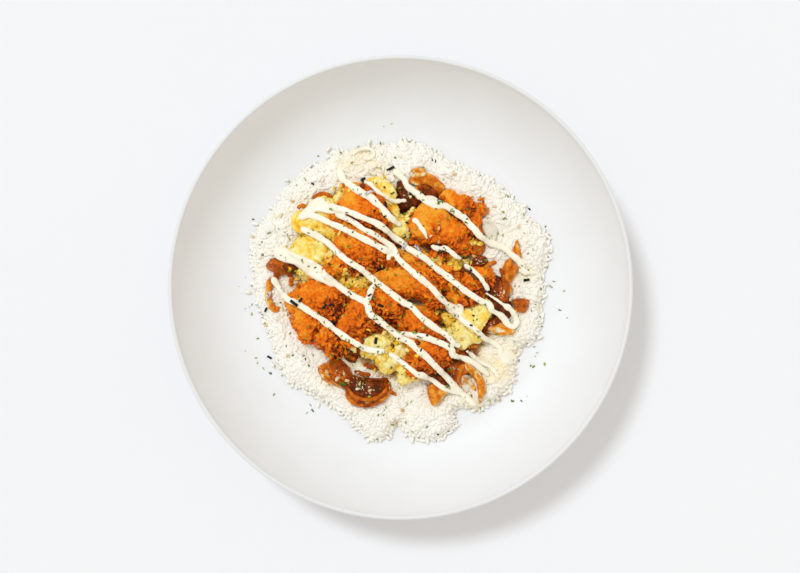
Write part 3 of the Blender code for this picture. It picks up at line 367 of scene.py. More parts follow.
ONION_STRIPS = {
    "onion_strip_upper_left": (6.5, [(314, 196.5), (321, 193.5), (328, 195), (334, 197)]),
    "onion_strip_left_hook": (7.5, [
        (271, 277), (268, 285), (267, 295), (269, 304), (274, 309.5), (279.5, 307)]),
    "onion_ring_inner": (6, [
        (349, 389), (356, 396.5), (366, 398.5), (375.8, 394.2), (381.6, 387), (383.5, 381)]),
    "onion_ring_outer": (6.5, [
        (345, 392), (349.5, 400), (357.7, 405), (367, 406), (377.5, 403), (386.5, 395.5), (390, 387)]),
    "onion_strip_dark_bottom": (7, [(427, 371), (436, 378), (448, 386.5)]),
    "onion_arc_lower_right": (6.5, [
        (457, 357.5), (466.5, 361.5), (475, 369), (481, 379.5), (483.5, 390), (480, 401)]),
    "onion_arc_top": (8, [(410.5, 184), (414, 177), (423, 174), (433, 178), (440, 184), (446, 189)]),
    "onion_strip_right": (8, [(506.5, 279), (508.5, 286), (511.5, 294)]),
    "onion_strip_dark_right": (5, [(480, 328.5), (492, 322.5), (503, 318.5)]),
}
EGG_CURDS = {
    "egg_left": [
        (289.7, 245.5), (293.6, 240.7), (304, 234), (315.6, 238.8), (327, 244.5), (334.7, 252.2),
        (337, 260), (332.8, 264.6), (325, 266), (317, 263), (308, 261.5), (300, 256), (293, 253)],
    "egg_upper_left": [
        (306, 206.3), (309.8, 200.5), (319.4, 195.5), (327, 198.6), (332, 206), (337, 216), (337.5, 230),
        (336, 241), (328, 237), (318, 230), (308, 229), (299, 227), (295.5, 220), (298, 212)],
    "egg_top_left": [
        (331, 204.4), (333, 197), (337.6, 190), (342, 186), (351, 188), (347, 195), (343, 203),
        (338.5, 207)],
    "egg_small_left": [(295.5, 271), (303, 269.4), (312, 274.5), (313, 280), (304, 281.5), (298, 277)],
    "egg_middle_left": [
        (335.7, 276), (343.3, 271.3), (354, 275), (368, 280), (370.5, 284), (367, 290), (356, 289.5),
        (347, 285.7), (339, 280.5)],
    "egg_top": [
        (366.3, 178), (375, 174.7), (385.4, 178.5), (395, 186), (397, 196), (399.5, 208), (400, 219),
        (393, 217), (385, 209), (380.6, 200), (375, 191), (369, 185)],
    "egg_centre_top": [
        (388, 222), (396, 221), (404, 214), (412, 206), (416, 208), (411, 217), (410, 227), (411, 236),
        (405, 238.5), (396, 233)],
    "egg_between_chicken": [(443, 256), (451, 255), (459, 261), (458, 268), (450, 265)],
    "egg_bottom_left": [
        (342.4, 341.6), (352, 338), (360, 335.5), (369, 333.5), (384.5, 332), (393, 339.7), (391, 347),
        (382, 353), (377, 360), (367, 359), (356.7, 353), (348, 349)],
    "egg_bottom_middle": [
        (376.8, 354.5), (386, 353), (395, 358), (398, 366), (395, 373), (388, 375.5), (379.7, 372),
        (375.5, 364)],
    "egg_bottom_right": [
        (394, 345), (399, 340), (406.5, 343.5), (411, 353), (413, 362), (418, 373), (413, 382),
        (403, 386.5), (397, 382), (396, 370), (398, 360), (395, 352)],
    "egg_small_right": [
        (438.9, 311), (447.5, 313.8), (455, 318.6), (453, 323), (448.4, 328.2), (442.7, 321.5)],
    "egg_lower_right": [
        (449.4, 329), (457, 323.4), (464, 324.4), (469.5, 329.5), (478, 335.8), (479, 341.6),
        (470.4, 345.4), (464, 345.4), (457, 341.6), (449.5, 336.5)],
    "egg_right": [
        (464.7, 311), (473.3, 304.5), (482.9, 304.3), (488.6, 309), (489.6, 317), (485.7, 325.3),
        (478, 328.2), (471.5, 325), (466, 318)],
}
CHICKEN_PIECES = {
    "chicken_under_strands": [
        (330, 214), (338.5, 211), (352, 215), (366, 221), (378, 229), (389, 239), (398, 248), (390, 252),
        (378, 246), (366, 239), (350, 231), (337, 222)],
    "chicken_top_left": [
        (340.4, 204.4), (343.3, 195.7), (350, 189.5), (358.6, 184.3), (368, 184.3), (375, 190),
        (380.6, 197.7), (384, 208), (388.5, 219), (387, 225.4), (376.8, 222.5), (365.3, 217.7),
        (352.9, 211.5)],
    "chicken_upper_middle": [
        (336.6, 230), (343.3, 226.5), (354, 231), (365.3, 238.5), (377, 247), (385.4, 254), (386, 261),
        (379.7, 266), (370, 270), (361.5, 265.6), (353.8, 259.8), (344.3, 254), (338.5, 247), (336, 238.8)],
    "chicken_small_left": [
        (323.2, 267), (329, 262), (337, 259), (348, 263.7), (357.7, 270.4), (356, 276), (346, 274),
        (334.7, 275.5), (327, 272.5)],
    "chicken_long_upper": [
        (407, 239.5), (414, 242), (424, 249), (438, 257.5), (453, 265.5), (466, 270.5), (478, 279),
        (485, 288.5), (483, 295.5), (475, 296), (462, 288), (445, 275), (430, 263), (415, 252), (408, 246)],
    "chicken_tip_right": [
        (471, 268), (478, 265.4), (492.4, 268.6), (496.3, 277), (497, 284), (491.5, 289), (485, 285),
        (480, 277)],
    "chicken_upper_right": [
        (410, 216.8), (416, 208), (427.4, 205), (438, 205.5), (449.4, 216.5), (459, 222.5), (468, 229),
        (470.5, 240.7), (473, 249.3), (471, 254.5), (464, 255.3), (456, 250.5), (443, 245), (431, 243),
        (420.7, 241), (411.5, 235), (409, 225)],
    "chicken_chip_top_right": [
        (475, 203), (483.8, 201.8), (489, 209), (484, 213), (482.3, 220), (482, 232), (476, 229),
        (471.5, 218), (473, 210)],
    "chicken_top_right": [
        (439.8, 194.8), (445.6, 188), (453.2, 187.8), (459, 193), (468.5, 194.5), (474.3, 199.6),
        (477, 206.3), (474.3, 213), (470, 214), (462.8, 211.1), (454.2, 206.3), (446.5, 200.5)],
    "chicken_long_lower": [
        (397.5, 252), (403, 250.5), (413, 256), (424, 264), (437, 274), (448.5, 284), (452, 290),
        (447, 296), (438, 291), (425, 280), (411, 269), (401, 259)],
    "chicken_long_lower_tip": [
        (449, 286.5), (456, 287), (466, 295), (474, 301.5), (472, 307), (463, 306.5), (455, 302),
        (448.5, 297)],
    "chicken_middle": [
        (377, 275.5), (386, 267), (395.5, 259), (405, 266), (421, 279), (432, 290), (440, 299.5),
        (442, 307), (435, 309.5), (426, 304), (417, 298.5), (406, 296), (393, 291.5), (383, 285)],
    "chicken_small_middle": [
        (417.5, 308), (425, 306), (433, 308), (439, 314), (441, 320.5), (436, 325.5), (428, 322),
        (421, 316)],
    "chicken_lower_strip": [
        (399, 322), (404, 313.5), (411.5, 310), (420, 317), (430, 326), (441, 334), (449.5, 343.5),
        (441, 345), (428, 338), (415, 334), (404, 330.5)],
    "chicken_small_centre": [
        (374, 296), (376.8, 290.5), (383, 289), (390, 294), (397, 300.5), (402.6, 309), (402, 317),
        (396.5, 321.8), (389, 320), (380.6, 314), (375, 307)],
    "chicken_middle_left": [
        (345.5, 303), (349, 296), (356, 289.5), (367, 288.5), (368, 297), (367.5, 307), (371, 318),
        (383.5, 328.5), (383, 331.5), (372, 333.5), (358.6, 337.7), (350, 334), (341.5, 329), (338, 323),
        (341, 314)],
    "chicken_lower_left": [
        (286, 305), (293, 302.5), (303, 308), (315, 318), (323, 326), (317, 331.5), (313, 338),
        (312.5, 346), (305, 345.3), (299, 341), (296.5, 334), (292, 329), (290.5, 323), (293, 318.5),
        (288, 313.5)],
    "chicken_bottom_left": [
        (313.7, 336), (318.4, 330), (326.5, 327), (332.8, 333.5), (338.5, 341.2), (341.6, 349),
        (343.3, 355), (338.5, 359.7), (331.8, 359.7), (325, 355), (320.5, 350.2), (315.2, 345)],
    "chicken_left": [
        (289, 297), (295, 288.5), (302, 282.8), (311.7, 280), (323, 282.5), (334.7, 287.3), (342.5, 293),
        (346.5, 299.5), (344.3, 307), (340.5, 314.5), (333.5, 318.5), (325, 315), (314, 309), (303, 303.5),
        (294, 301)],
    "chicken_bottom": [
        (407, 351), (411.5, 343.5), (417, 341), (425, 341.8), (436, 345.5), (445.6, 349), (450.6, 354),
        (449.6, 360), (443.7, 365.7), (433, 368.5), (424, 372.4), (417, 373.3), (411, 367.6), (408, 360)],
}

# Mayonnaise strands: width in pixels and route
MAYO_STRANDS = {
    "strand_upper_right": (7.5, [
        (393, 171), (404.4, 180.4), (407.3, 187), (416, 193), (424, 199.6), (438, 203.4), (453, 211),
        (463, 217.7), (474, 229), (487.7, 241.7), (506, 249.3), (516.4, 259), (524, 270.4), (532, 273.5)]),
    "strand_top_left": (7.5, [
        (342, 172), (348, 183.3), (363.4, 193.8), (371, 197.7), (382.5, 208.2), (392, 218.7), (402, 224)]),
    "strand_third": (7, [
        (329, 204.4), (344, 210), (354, 214), (375, 222.5), (389, 233), (403.6, 244), (425.5, 259),
        (445.6, 275), (464.7, 290.5), (484, 303), (491, 309), (501, 315.7), (508, 325), (513.5, 326.3),
        (516.4, 321.5), (508.7, 308), (493.4, 297.6)]),
    "strand_fourth": (7, [
        (335, 213), (354, 222.5), (373, 234), (392, 250), (414, 273.2), (432, 288.5), (446, 303),
        (457, 312), (462, 320), (478, 332), (491.5, 341.6), (500, 348)]),
    "strand_fifth": (7, [
        (299, 219), (311, 215.5), (323, 219.7), (338.5, 226.4), (357.7, 236), (377, 245.5), (392, 252)]),
    "strand_sixth": (7.5, [
        (301, 227.5), (316, 235), (331, 245.5), (346, 260), (361.5, 269.4), (386.4, 289), (411, 306.5),
        (430, 324.4), (447.5, 336), (453, 342), (461, 347)]),
    "strand_seventh": (7.5, [
        (274, 252), (284, 256), (296, 257), (308, 264), (323, 274.2), (346, 291.4), (364, 302.5),
        (371, 314), (384.5, 324.4), (397, 334.5), (410, 342.5), (432, 362.6), (454, 385.6), (476, 405.7)]),
    "strand_branch": (7, [
        (397, 334), (411, 335), (424, 337), (443.7, 344.4), (453, 354), (471, 361.7), (490, 376)]),
    "strand_eighth": (7, [
        (271.6, 277), (283, 293.3), (290, 300.5), (311.7, 313), (334.7, 329), (357.7, 344.4), (373, 350.2),
        (385, 350)]),
    "strand_ninth": (6.5, [
        (388, 353), (403.6, 363.6), (417, 374), (432, 379.8), (446.5, 389.4), (461, 393)]),
}

# How far a piece's edge runs on beneath a strand, and how near the strand has to be, in pixels
STRAND_REACH = 9.0
STRAND_SEARCH = 10.0

# Mayonnaise as it was poured: width in pixels and route
POURED = [
    (7.6, [
        (392, 170), (398, 174), (404.4, 180.4), (407.3, 187), (416, 193), (423.6, 199.6), (430.3, 203.4),
        (438, 203.4), (445.6, 206.3), (453.2, 211), (462.8, 217.7), (469.5, 224.4), (474.3, 229.2),
        (481, 236.9), (487.7, 241.7), (497.2, 245.5), (505.8, 249.3), (510.6, 254.1), (516.4, 258.9),
        (521.1, 264.6), (524, 270.4)]),
    (5.5, [(518, 269), (524, 272.5), (530, 272), (536, 274)]),
    (7.6, [
        (339, 167), (342.4, 178.5), (348, 183.3), (355.8, 189), (363.4, 193.8), (371, 197.7),
        (376.8, 203.4), (382.5, 208.2), (386.4, 213.9), (392, 218.7), (397.8, 223.5), (402.6, 224.4)]),
    (4.8, [
        (363, 182), (370, 184.3), (376.8, 191), (383.5, 195.7), (390.2, 199.6), (396, 201.5),
        (403.6, 200.5), (407.4, 201.5)]),
    (7.0, [
        (329, 204.4), (336.6, 208.2), (344.3, 210), (353.8, 213.9), (365.3, 218.7), (374.9, 222.5),
        (382.5, 227.3), (389.2, 233), (396, 238.8), (403.6, 243.6), (406.4, 247.4), (415.9, 253.1),
        (425.5, 258.9), (435, 267.5), (445.6, 275.1), (455.1, 282.8), (464.7, 290.5), (473.3, 296.2),
        (481, 301), (489.6, 305.2), (491.5, 310), (496.3, 312.9), (501, 315.7), (504.9, 320.5),
        (508.7, 325.3), (513.5, 326.3), (516.4, 321.5), (513.5, 313.8), (508.7, 308.1), (502.5, 304.3)]),
    (7.0, [
        (334.7, 213), (344.3, 217.7), (353.8, 222.5), (363.4, 229.2), (373, 234), (381.6, 239.7),
        (389.2, 245.5), (396, 252.2), (397.7, 257.9), (405.4, 265.6), (414, 273.2), (423.6, 280.9),
        (432.2, 288.5), (437.9, 295.2), (443.7, 301), (450, 306), (456, 311)]),
    (6.4, [
        (459, 312.9), (461.8, 319.6), (471.4, 326.3), (478.1, 332), (483.8, 337.7), (491.5, 341.6),
        (498.2, 346.4), (503, 352)]),
    (7.2, [
        (298.4, 218.7), (307, 215), (315.6, 216.8), (323.2, 219.7), (330.9, 223.5), (338.5, 226.4),
        (348.1, 231.1), (357.7, 235.9), (367.2, 240.7), (376.8, 245.5), (385.4, 250.3), (392.1, 252.2)]),
    (9.0, [(391, 250), (389.5, 256), (387.5, 261)]),
    (7.2, [
        (300.3, 227.3), (307, 231.1), (315.6, 235), (323.2, 239.7), (330.9, 245.5), (338.5, 253.1),
        (346.2, 259.8), (353.8, 264.6), (361.5, 269.4), (369.1, 276.1), (376.8, 281.8), (386.4, 289.5),
        (396, 297.1), (405.5, 303.8), (411.1, 306.2), (420.7, 316.7), (430.3, 324.4), (439.8, 331),
        (447.5, 335.8), (453.2, 342.5), (460.9, 347.3)]),
    (7.4, [
        (322, 273), (330.9, 279.9), (338.5, 285.7), (346.2, 291.4), (353.8, 296.2), (361.5, 300),
        (367.2, 304.8), (370.1, 313.8), (376.8, 318.6), (384.5, 324.4), (390.2, 329.1), (395.9, 333.9),
        (403, 339), (410.2, 342.5), (416.9, 349.2), (424.5, 355), (432.2, 362.6), (439.8, 370.3),
        (447.5, 377.9), (454.2, 385.6), (460.9, 392.3), (468.5, 399), (476.2, 405.7)]),
    (6.8, [
        (395.9, 333.9), (403.6, 333.9), (411.1, 334.9), (423.6, 336.8), (434.1, 340.6), (443.7, 344.4),
        (451.3, 349.2), (453.2, 355), (462.8, 357.8), (471.4, 361.7), (478.1, 366.4), (483.8, 371.2),
        (489.6, 376)]),
    (5.0, [
        (465.7, 350.2), (471.4, 355), (476.2, 359.7), (481.9, 363.6), (487.7, 365.5), (492.4, 369.3),
        (496.3, 374.1), (499, 380)]),
    (7.0, [
        (271.6, 277), (277.3, 284.7), (283, 293.3), (288.8, 300), (295.5, 302.4), (303, 307),
        (311.7, 312.9), (319.4, 317.7), (327, 323.4), (334.7, 329.1), (342.4, 334.9), (350, 339.7),
        (357.7, 344.4), (365.3, 348.3), (373, 350.2), (380.6, 351.1), (385.4, 349.2)]),
    (6.2, [
        (388.3, 353), (396, 357.8), (403.6, 363.6), (411, 369.3), (416.9, 374.1), (424.5, 376),
        (432.2, 379.8), (439.8, 385.6), (446.5, 389.4), (453.2, 391.3), (460.9, 393.2)]),
    (5.4, [(411.5, 218.7), (416.9, 221.8), (420.5, 227.2), (424.5, 232.5), (427.4, 239.7)]),
    (5.9, [(430.3, 245.5), (437, 248.8), (444.7, 248.3), (451.3, 252.1), (456, 256.5), (461.8, 258.9)]),
    (5.3, [(462.8, 264.6), (471.4, 269.4), (477.1, 274.2), (481.9, 279.9), (485.7, 286.6), (489.6, 291.4)]),
    (6.7, [(374.9, 283.8), (371, 291.4), (367.2, 301.9)]),
    (4.5, [(352, 155), (360, 150), (369, 149), (374, 154), (369, 159), (362, 157)]),
    (3.6, [(504.5, 305.5), (501, 303), (493.4, 297.6), (484.8, 292.8)]),
]

# Pads of mayonnaise: thickness and outline
PADS = [
    (0.002, [
        (446, 302), (453, 304), (461, 304), (464, 308), (463, 316), (459, 320), (451, 315), (445, 308)]),
    (0.0014, [
        (305, 208), (312, 200), (322, 197), (330, 204), (337, 208), (337, 213), (330, 214), (318, 212),
        (308, 216), (297, 218)]),
    (0.0026, [
        (273.7, 248.3), (283.9, 246.3), (293, 252.4), (307.3, 257.6), (321.6, 265.7), (329.8, 275.9),
        (334, 288), (325.7, 284.5), (313, 279), (303, 271.5), (296, 266.5), (291.5, 264), (283.9, 262.7),
        (274.7, 257.6)]),
    (0.0012, [(497, 351), (505, 349), (514, 353), (517, 360), (510, 365), (501, 362)]),
    (0.0012, [(424, 197), (433, 196), (441, 201), (447, 207), (440, 209), (430, 207)]),
]

# Small bits of onion: width in pixels, how dark, and route
ONION_BITS = [
    (5.0, 0.35, [(292.6, 276), (291, 281), (291.5, 287)]),
    (4.5, 0.3, [(297.4, 208.2), (302, 205.5), (306, 207)]),
    (5.5, 0.5, [(363.4, 363.5), (370, 367), (376.8, 368)]),
    (4.5, 0.2, [(516.4, 240.7), (517.5, 248), (520, 257)]),
    (4.5, 0.3, [(468.5, 347.5), (473, 346), (478.1, 346)]),
    (5.5, 0.4, [(455, 350), (461, 354), (465.5, 355)]),
    (4.0, 0.2, [(411, 172), (418, 169.5), (426, 171)]),
    (4.0, 0.1, [(462, 378), (470, 383), (476, 391)]),
    (4.5, 0.6, [(343.5, 353), (349, 357), (356, 359.5)]),
    (4.5, 0.5, [(440, 259), (449, 256), (458, 254)]),
    (5.0, 0.5, [(330, 376), (338, 382), (347, 388)]),
    (5.0, 0.6, [(354, 371), (362, 374), (371, 375)]),
    (4.5, 0.4, [(484, 268), (490, 264), (497, 262)]),
    (4.5, 0.6, [(500, 268), (503, 275), (504, 283)]),
    (4.0, 0.44, [
        (346.3, 386.1), (352.9, 395), (363.2, 399.6), (374.5, 398.6), (383.9, 392.4), (388.3, 384.4)]),
]

# Gaps that crumbs have filled: place and reach
GAPS_IN_CRUST = [(430, 249, 8), (412, 245, 5), (399, 325, 5), (388, 262, 5), (446, 254, 6), (352, 344, 4)]
GAPS_IN_EGG = [(478, 243, 4), (454, 262, 5), (466, 262, 4), (440, 258, 3)]

# Broken bits: seed, how many, their sizes, how far from an edge, how brown, and the gaps that they fill
EGG_CRUMBS = (51, 170, (0.0014, 0.0034), 0.0020, (0.2, 0.75), GAPS_IN_EGG)
CRUST_CRUMBS = (52, 260, (0.0012, 0.0036), 0.0016, (0.2, 0.9), GAPS_IN_CRUST)

# Leaves of onion that lie on the rice: how dark, how thick, and their outline
ONION_SHEETS = [
    (0.56, 0.002, [
        (266, 266), (268, 261.5), (274, 258), (282, 262), (294, 264.5), (297, 268.5), (294, 273),
        (289, 277.5), (285.3, 275), (280, 276), (278.5, 280), (272.5, 278), (273, 272.5), (267.5, 269.5)]),
    (0.85, 0.003, [(283, 265), (293, 265), (297, 269), (293, 274), (286, 271)]),
    (0.42, 0.0012, [
        (318.3, 367.7), (330.4, 360.5), (340, 362), (349, 369), (352, 377), (345, 388), (335.7, 385),
        (323.2, 380)]),
    (0.62, 0.0021, [(329.5, 360), (340, 359), (350, 368), (350, 374.5), (342, 376), (331, 370)]),
    (0.7, 0.0014, [
        (341, 380), (353.6, 375.5), (362.5, 377.5), (376, 378), (385.7, 378), (391, 384), (389, 392),
        (380, 400.5), (368, 405), (357, 404), (349, 397.5), (344, 389)]),
    (0.88, 0.002, [
        (348, 383), (357, 379), (368, 378), (379, 380), (385, 383), (383, 391), (375, 396.5), (364, 398),
        (354, 394.5), (349, 389)]),
    (0.6, 0.0018, [
        (408, 240), (420, 240), (436, 246), (450, 252), (462, 256), (458, 264), (446, 262), (430, 258),
        (416, 252), (408, 246)]),
    (0.62, 0.0016, [(388, 318), (398, 316), (408, 322), (410, 332), (400, 334), (390, 328)]),
    (0.8, 0.0014, [(372, 255), (384, 252), (392, 262), (388, 270), (378, 272), (370, 265)]),
    (0.64, 0.0016, [
        (450, 357), (456, 358), (463.6, 360.5), (471.7, 367), (474, 373), (467, 374), (463.6, 378),
        (462.5, 388), (458, 386), (450, 378), (441.8, 367)]),
    (0.42, 0.0026, [(459, 366), (467, 365), (474, 371), (467, 374), (463, 379), (462, 388), (457, 382)]),
    (0.78, 0.0016, [
        (426.3, 372), (433.8, 369), (441, 373), (450.4, 384.5), (447, 386.5), (438, 382), (431, 377)]),
    (0.02, 0.001, [(462, 377), (470, 375.5), (472, 382), (468, 392), (463, 390)]),
    (0.2, 0.0022, [
        (466, 361), (475, 368.5), (482, 378.5), (486, 390), (483, 398), (478.6, 404.5), (479.5, 395),
        (477, 385), (471, 375.5), (465, 367)]),
    (0.3, 0.0014, [
        (517, 239.5), (514, 246), (512.3, 251), (516, 255), (521, 259), (520.6, 251), (519.2, 245)]),
    (0.94, 0.0016, [
        (490, 279), (499, 276), (506, 283), (509, 295), (512, 304), (510, 318), (502, 321), (493, 314),
        (488, 300)]),
    (0.36, 0.0016, [
        (505, 261.5), (510.5, 258.5), (514.5, 263), (519, 268), (515, 276.5), (510, 284), (503.5, 283),
        (501, 276), (503, 268)]),
    (0.58, 0.0012, [(500, 281), (509, 282), (510, 290), (507, 300), (502, 306), (499, 300), (498.5, 290)]),
    (0.46, 0.001, [
        (514.3, 300), (521, 298.2), (528.8, 300), (528.4, 307), (525.5, 312.5), (518, 312.6),
        (514.6, 310)]),
    (0.76, 0.0014, [(478, 330), (490, 320), (501, 315), (506, 320), (498, 327), (486, 334)]),
    (0.18, 0.0018, [
        (488, 328.5), (500.6, 323.5), (508, 325), (516, 331), (510.5, 335.5), (498, 335.5), (492, 332)]),
    (0.3, 0.0014, [
        (410.3, 182), (411.5, 175), (420.5, 173), (428.2, 174.5), (436, 180), (445, 187), (443.5, 192),
        (438, 194), (432, 187.5), (424, 184), (416, 185.5)]),
    (0.16, 0.0011, [(411, 176.5), (416, 171), (422, 169), (426, 172), (424, 176), (417, 177)]),
    (0.72, 0.0016, [(417, 185.5), (427, 184.5), (433.3, 188), (440, 196), (429, 198), (422, 193)]),
    (0.95, 0.0012, [
        (397, 184), (401, 181.5), (404, 185.5), (408, 192), (421, 201.5), (416.7, 207), (409.7, 210),
        (400.7, 213), (398, 204)]),
    (0.5, 0.0012, [(472, 240), (480, 239), (485, 243), (484, 252), (477, 256), (472, 252)]),
    (0.84, 0.0012, [(470, 262), (475, 258), (484, 256), (488, 261), (486, 266.5), (477, 268)]),
    (0.45, 0.001, [(390.5, 389), (396.5, 394), (395.5, 396), (389.5, 393.5)]),
    (0.42, 0.0014, [(312, 197), (320, 192), (328, 193.5), (333, 197), (326, 202), (316, 203)]),
    (0.55, 0.0012, [(454, 348), (460, 349), (468, 355.5), (462, 357), (456.5, 352.5)]),
    (0.9, 0.0012, [(344, 355), (352, 352), (358, 357), (354, 363), (347, 361)]),
    (0.24, 0.0009, [
        (319, 369.5), (325, 372), (332, 378), (342, 383.5), (341, 387), (332, 385), (323, 379.5)]),
]

# Pale specks on the glossy onion, bits of rice and painted glints of oil: place and reach
SPECKS_AND_GLINTS = [
    (362, 384, 9), (366, 388, 7), (340, 374, 8), (352, 380, 8), (501, 296, 6), (490, 326, 4),
    (409, 193, 5), (478, 262, 3), (455, 370, 6),
]

# The heap of toppings, under which the rice is dark with sauce and with painted shade
SAUCED_AND_SHADED = [
    (300, 208), (318, 196), (340, 185), (372, 176), (398, 182), (440, 188), (470, 208), (478, 230),
    (480, 250), (492, 275), (510, 292), (512, 318), (488, 345), (482, 372), (455, 384), (425, 374),
    (405, 388), (375, 378), (350, 362), (332, 350), (300, 338), (292, 310), (288, 275), (292, 240),
]

# Where sauce has run into the rice: place, reach and depth
STAINS = [
    (350, 362, 16, 0.26), (382, 370, 10, 0.25), (395, 392, 11, 0.2), (358, 398, 20, 0.22),
    (330, 378, 16, 0.22), (284, 288, 14, 0.16), (286, 306, 12, 0.2), (478, 232, 16, 0.1),
    (498, 262, 16, 0.08), (514, 285, 14, 0.12), (500, 305, 20, 0.3), (492, 335, 12, 0.22),
    (470, 350, 14, 0.22), (470, 386, 14, 0.18), (440, 396, 14, 0.22), (418, 196, 16, 0.3),
    (322, 200, 10, 0.25), (355, 350, 14, 0.25), (455, 262, 16, 0.4),
]

# Where mayonnaise has spread over the rice: place, reach and depth
CREAMED = [
    (362, 155, 20, 0.8), (345, 165, 14, 0.5), (380, 166, 12, 0.4), (500, 366, 22, 0.9),
    (494, 376, 16, 0.5), (512, 352, 14, 0.6), (486, 360, 14, 0.5), (522, 272, 14, 0.5),
    (530, 276, 10, 0.4), (300, 206, 12, 0.3), (470, 398, 14, 0.5), (476, 405, 10, 0.5),
    (398, 420, 18, 0.2), (520, 235, 18, 0.2),
]

# Where herb flakes lie thick: place, reach and how many
HERB_CLUMPS = [(343.6, 384, 2.0, 14), (440.5, 201, 2.5, 9), (454, 209, 2.0, 6)]

# Nori strips: place and turn in plan, length and width in pixels
NORI_STRIPS = [
    (390.5, 168.6, 30, 8.5, 3.4), (363, 179.2, 60, 5, 4.4), (368.8, 192.2, 25, 10, 3.2),
    (385.7, 204.6, 105, 6.5, 2.8), (418.2, 248, -40, 9, 3.6), (294, 303.2, -38, 9, 3.6),
    (325, 306.5, 60, 5.5, 3.4), (375.7, 340.7, 82, 6.5, 3.4), (380.7, 305.6, -20, 6, 3.4),
    (526.6, 280, 5, 6, 3.3), (404.1, 245.8, 70, 9, 4), (331, 305, 20, 5, 3), (300.5, 300, 50, 5, 3),
    (269, 294.5, 65, 7, 4), (269.5, 357.4, -30, 5, 2.5), (265.8, 309.7, 60, 5, 2.5),
]
# Strips with a painted silvery sheen in place of a highlight
PAINTED_SHEEN_STRIPS = (2, 4, 10, 13)
NORI_THICKNESS = 0.0004
NORI_LIFT = 0.0004
NORI_LEAN = (0.002, 0.45)
NORI_BIT_LENGTHS = (0.0012, 0.0028)
NORI_BIT_WIDTHS = (0.0007, 0.0013)
NORI_BIT_THICKNESS = 0.0003
NORI_BIT_LIFT = 0.0003

# Sesame seeds: place and turn in plan
SESAME_SEEDS = [
    (357.7, 388.9, 10), (370.1, 390.4, 25), (327, 372, -50), (338, 378, 20), (281, 215, 50),
    (403, 410.5, 30), (395, 423, 80), (494.8, 206.3, 0), (439, 228, 70), (288, 356, -20), (519, 227, 15),
    (500, 400, 60), (359.6, 383.7, 70), (357.7, 373.1, 35), (438.9, 241.7, 80), (510.6, 299, 60),
    (265.8, 325.3, 10), (287.8, 355.9, 40), (402.5, 410.5, -10), (394.9, 422.9, 75), (292.9, 201.3, 10),
    (519.2, 226.4, 80), (454.7, 173.7, 0), (281.1, 214.9, 60), (343.9, 373.5, 100), (347, 380.5, 0),
    (337, 379.5, 50), (253, 237, 5), (431, 236, 30), (504, 292, 80),
]
SEED_LENGTH = 0.0030
SEED_WIDTH = 0.0018
SEED_SIDES = 8
SEED_STATIONS = ((-0.4, 0.72), (-0.15, 1.0), (0.15, 0.82), (0.38, 0.38))
SEED_HEIGHT_SHARE = 0.55
SEED_LIFT = 0.0004


def plan(point, scale=PLAN_SCALE):
    """A point of the photograph as metres from the middle of the bowl."""
    return np.array([(point[0] - PLAN_CENTRE[0]) * scale, (PLAN_CENTRE[1] - point[1]) * scale])


def spline(points, closed, per_span=12):
    """Points along a Catmull-Rom curve through the given ones."""
    points = np.asarray(points, dtype=float)
    count = len(points)
    curve = []
    for index in range(count if closed else count - 1):
        if closed:
            before, start, end, after = (points[(index + step) % count] for step in (-1, 0, 1, 2))
        else:
            start, end = points[index], points[index + 1]
            before = points[index - 1] if index > 0 else 2 * start - end
            after = points[index + 2] if index + 2 < count else 2 * end - start
        for step in range(per_span):
            t = step / per_span
            curve.append(0.5 * (2 * start + (end - before) * t
                                + (2 * before - 5 * start + 4 * end - after) * t ** 2
                                + (3 * start - before - 3 * end + after) * t ** 3))
    if not closed:
        curve.append(points[-1])
    return np.array(curve)


def even(curve, count, closed):
    """The given number of points, evenly spaced along a curve."""
    loop = np.vstack([curve, curve[:1]]) if closed else curve
    lengths = np.concatenate([[0], np.cumsum(np.linalg.norm(np.diff(loop, axis=0), axis=1))])
    marks = np.linspace(0, lengths[-1], count + 1 if closed else count)
    result = np.column_stack([np.interp(marks, lengths, loop[:, axis]) for axis in range(2)])
    return result[:-1] if closed else result


def wall_angle(radius):
    """How steep the bowl's wall is at a radius."""
    share = (radius - FLOOR_RADIUS) / (BOWL_RADIUS - LIP_THICKNESS - FLOOR_RADIUS)
    return WALL_START_ANGLE + np.clip(share, 0, 1) * (WALL_END_ANGLE - WALL_START_ANGLE)


def bowl_surface(radius):
    """Height of the inside of the bowl: a flat floor, then a wall that steepens evenly."""
    depth = BOWL_HEIGHT - LIP_THICKNESS / 2 - BOWL_FLOOR
    full = math.log(math.cos(WALL_START_ANGLE) / math.cos(WALL_END_ANGLE))
    rise = np.log(math.cos(WALL_START_ANGLE) / np.cos(wall_angle(radius))) / full
    return BOWL_FLOOR + depth * np.where(np.asarray(radius) > FLOOR_RADIUS, rise, 0)


def highest_nearby(level):
    """A grid of heights with each cell raised to its highest neighbour."""
    wide = level.copy()
    for row in (-1, 0, 1):
        for column in (-1, 0, 1):
            wide = np.maximum(wide, np.roll(level, (row, column), axis=(0, 1)))
    return wide


class PlanGrid:
    """A fine square grid in plan with a height in each cell, which starts at the bowl's."""

    def __init__(self, half, cell):
        self.half = half
        self.cell = cell
        self.count = int(round(2 * half / cell))
        ticks = (np.arange(self.count) + 0.5) * cell - half
        self.x, self.y = np.meshgrid(ticks, ticks, indexing="ij")
        self.level = bowl_surface(np.hypot(self.x, self.y))

    def cells(self, x, y):
        """The rows and the columns of places."""
        return tuple(np.clip(((np.asarray(values) + self.half) / self.cell).astype(int), 0, self.count - 1)
                     for values in (x, y))


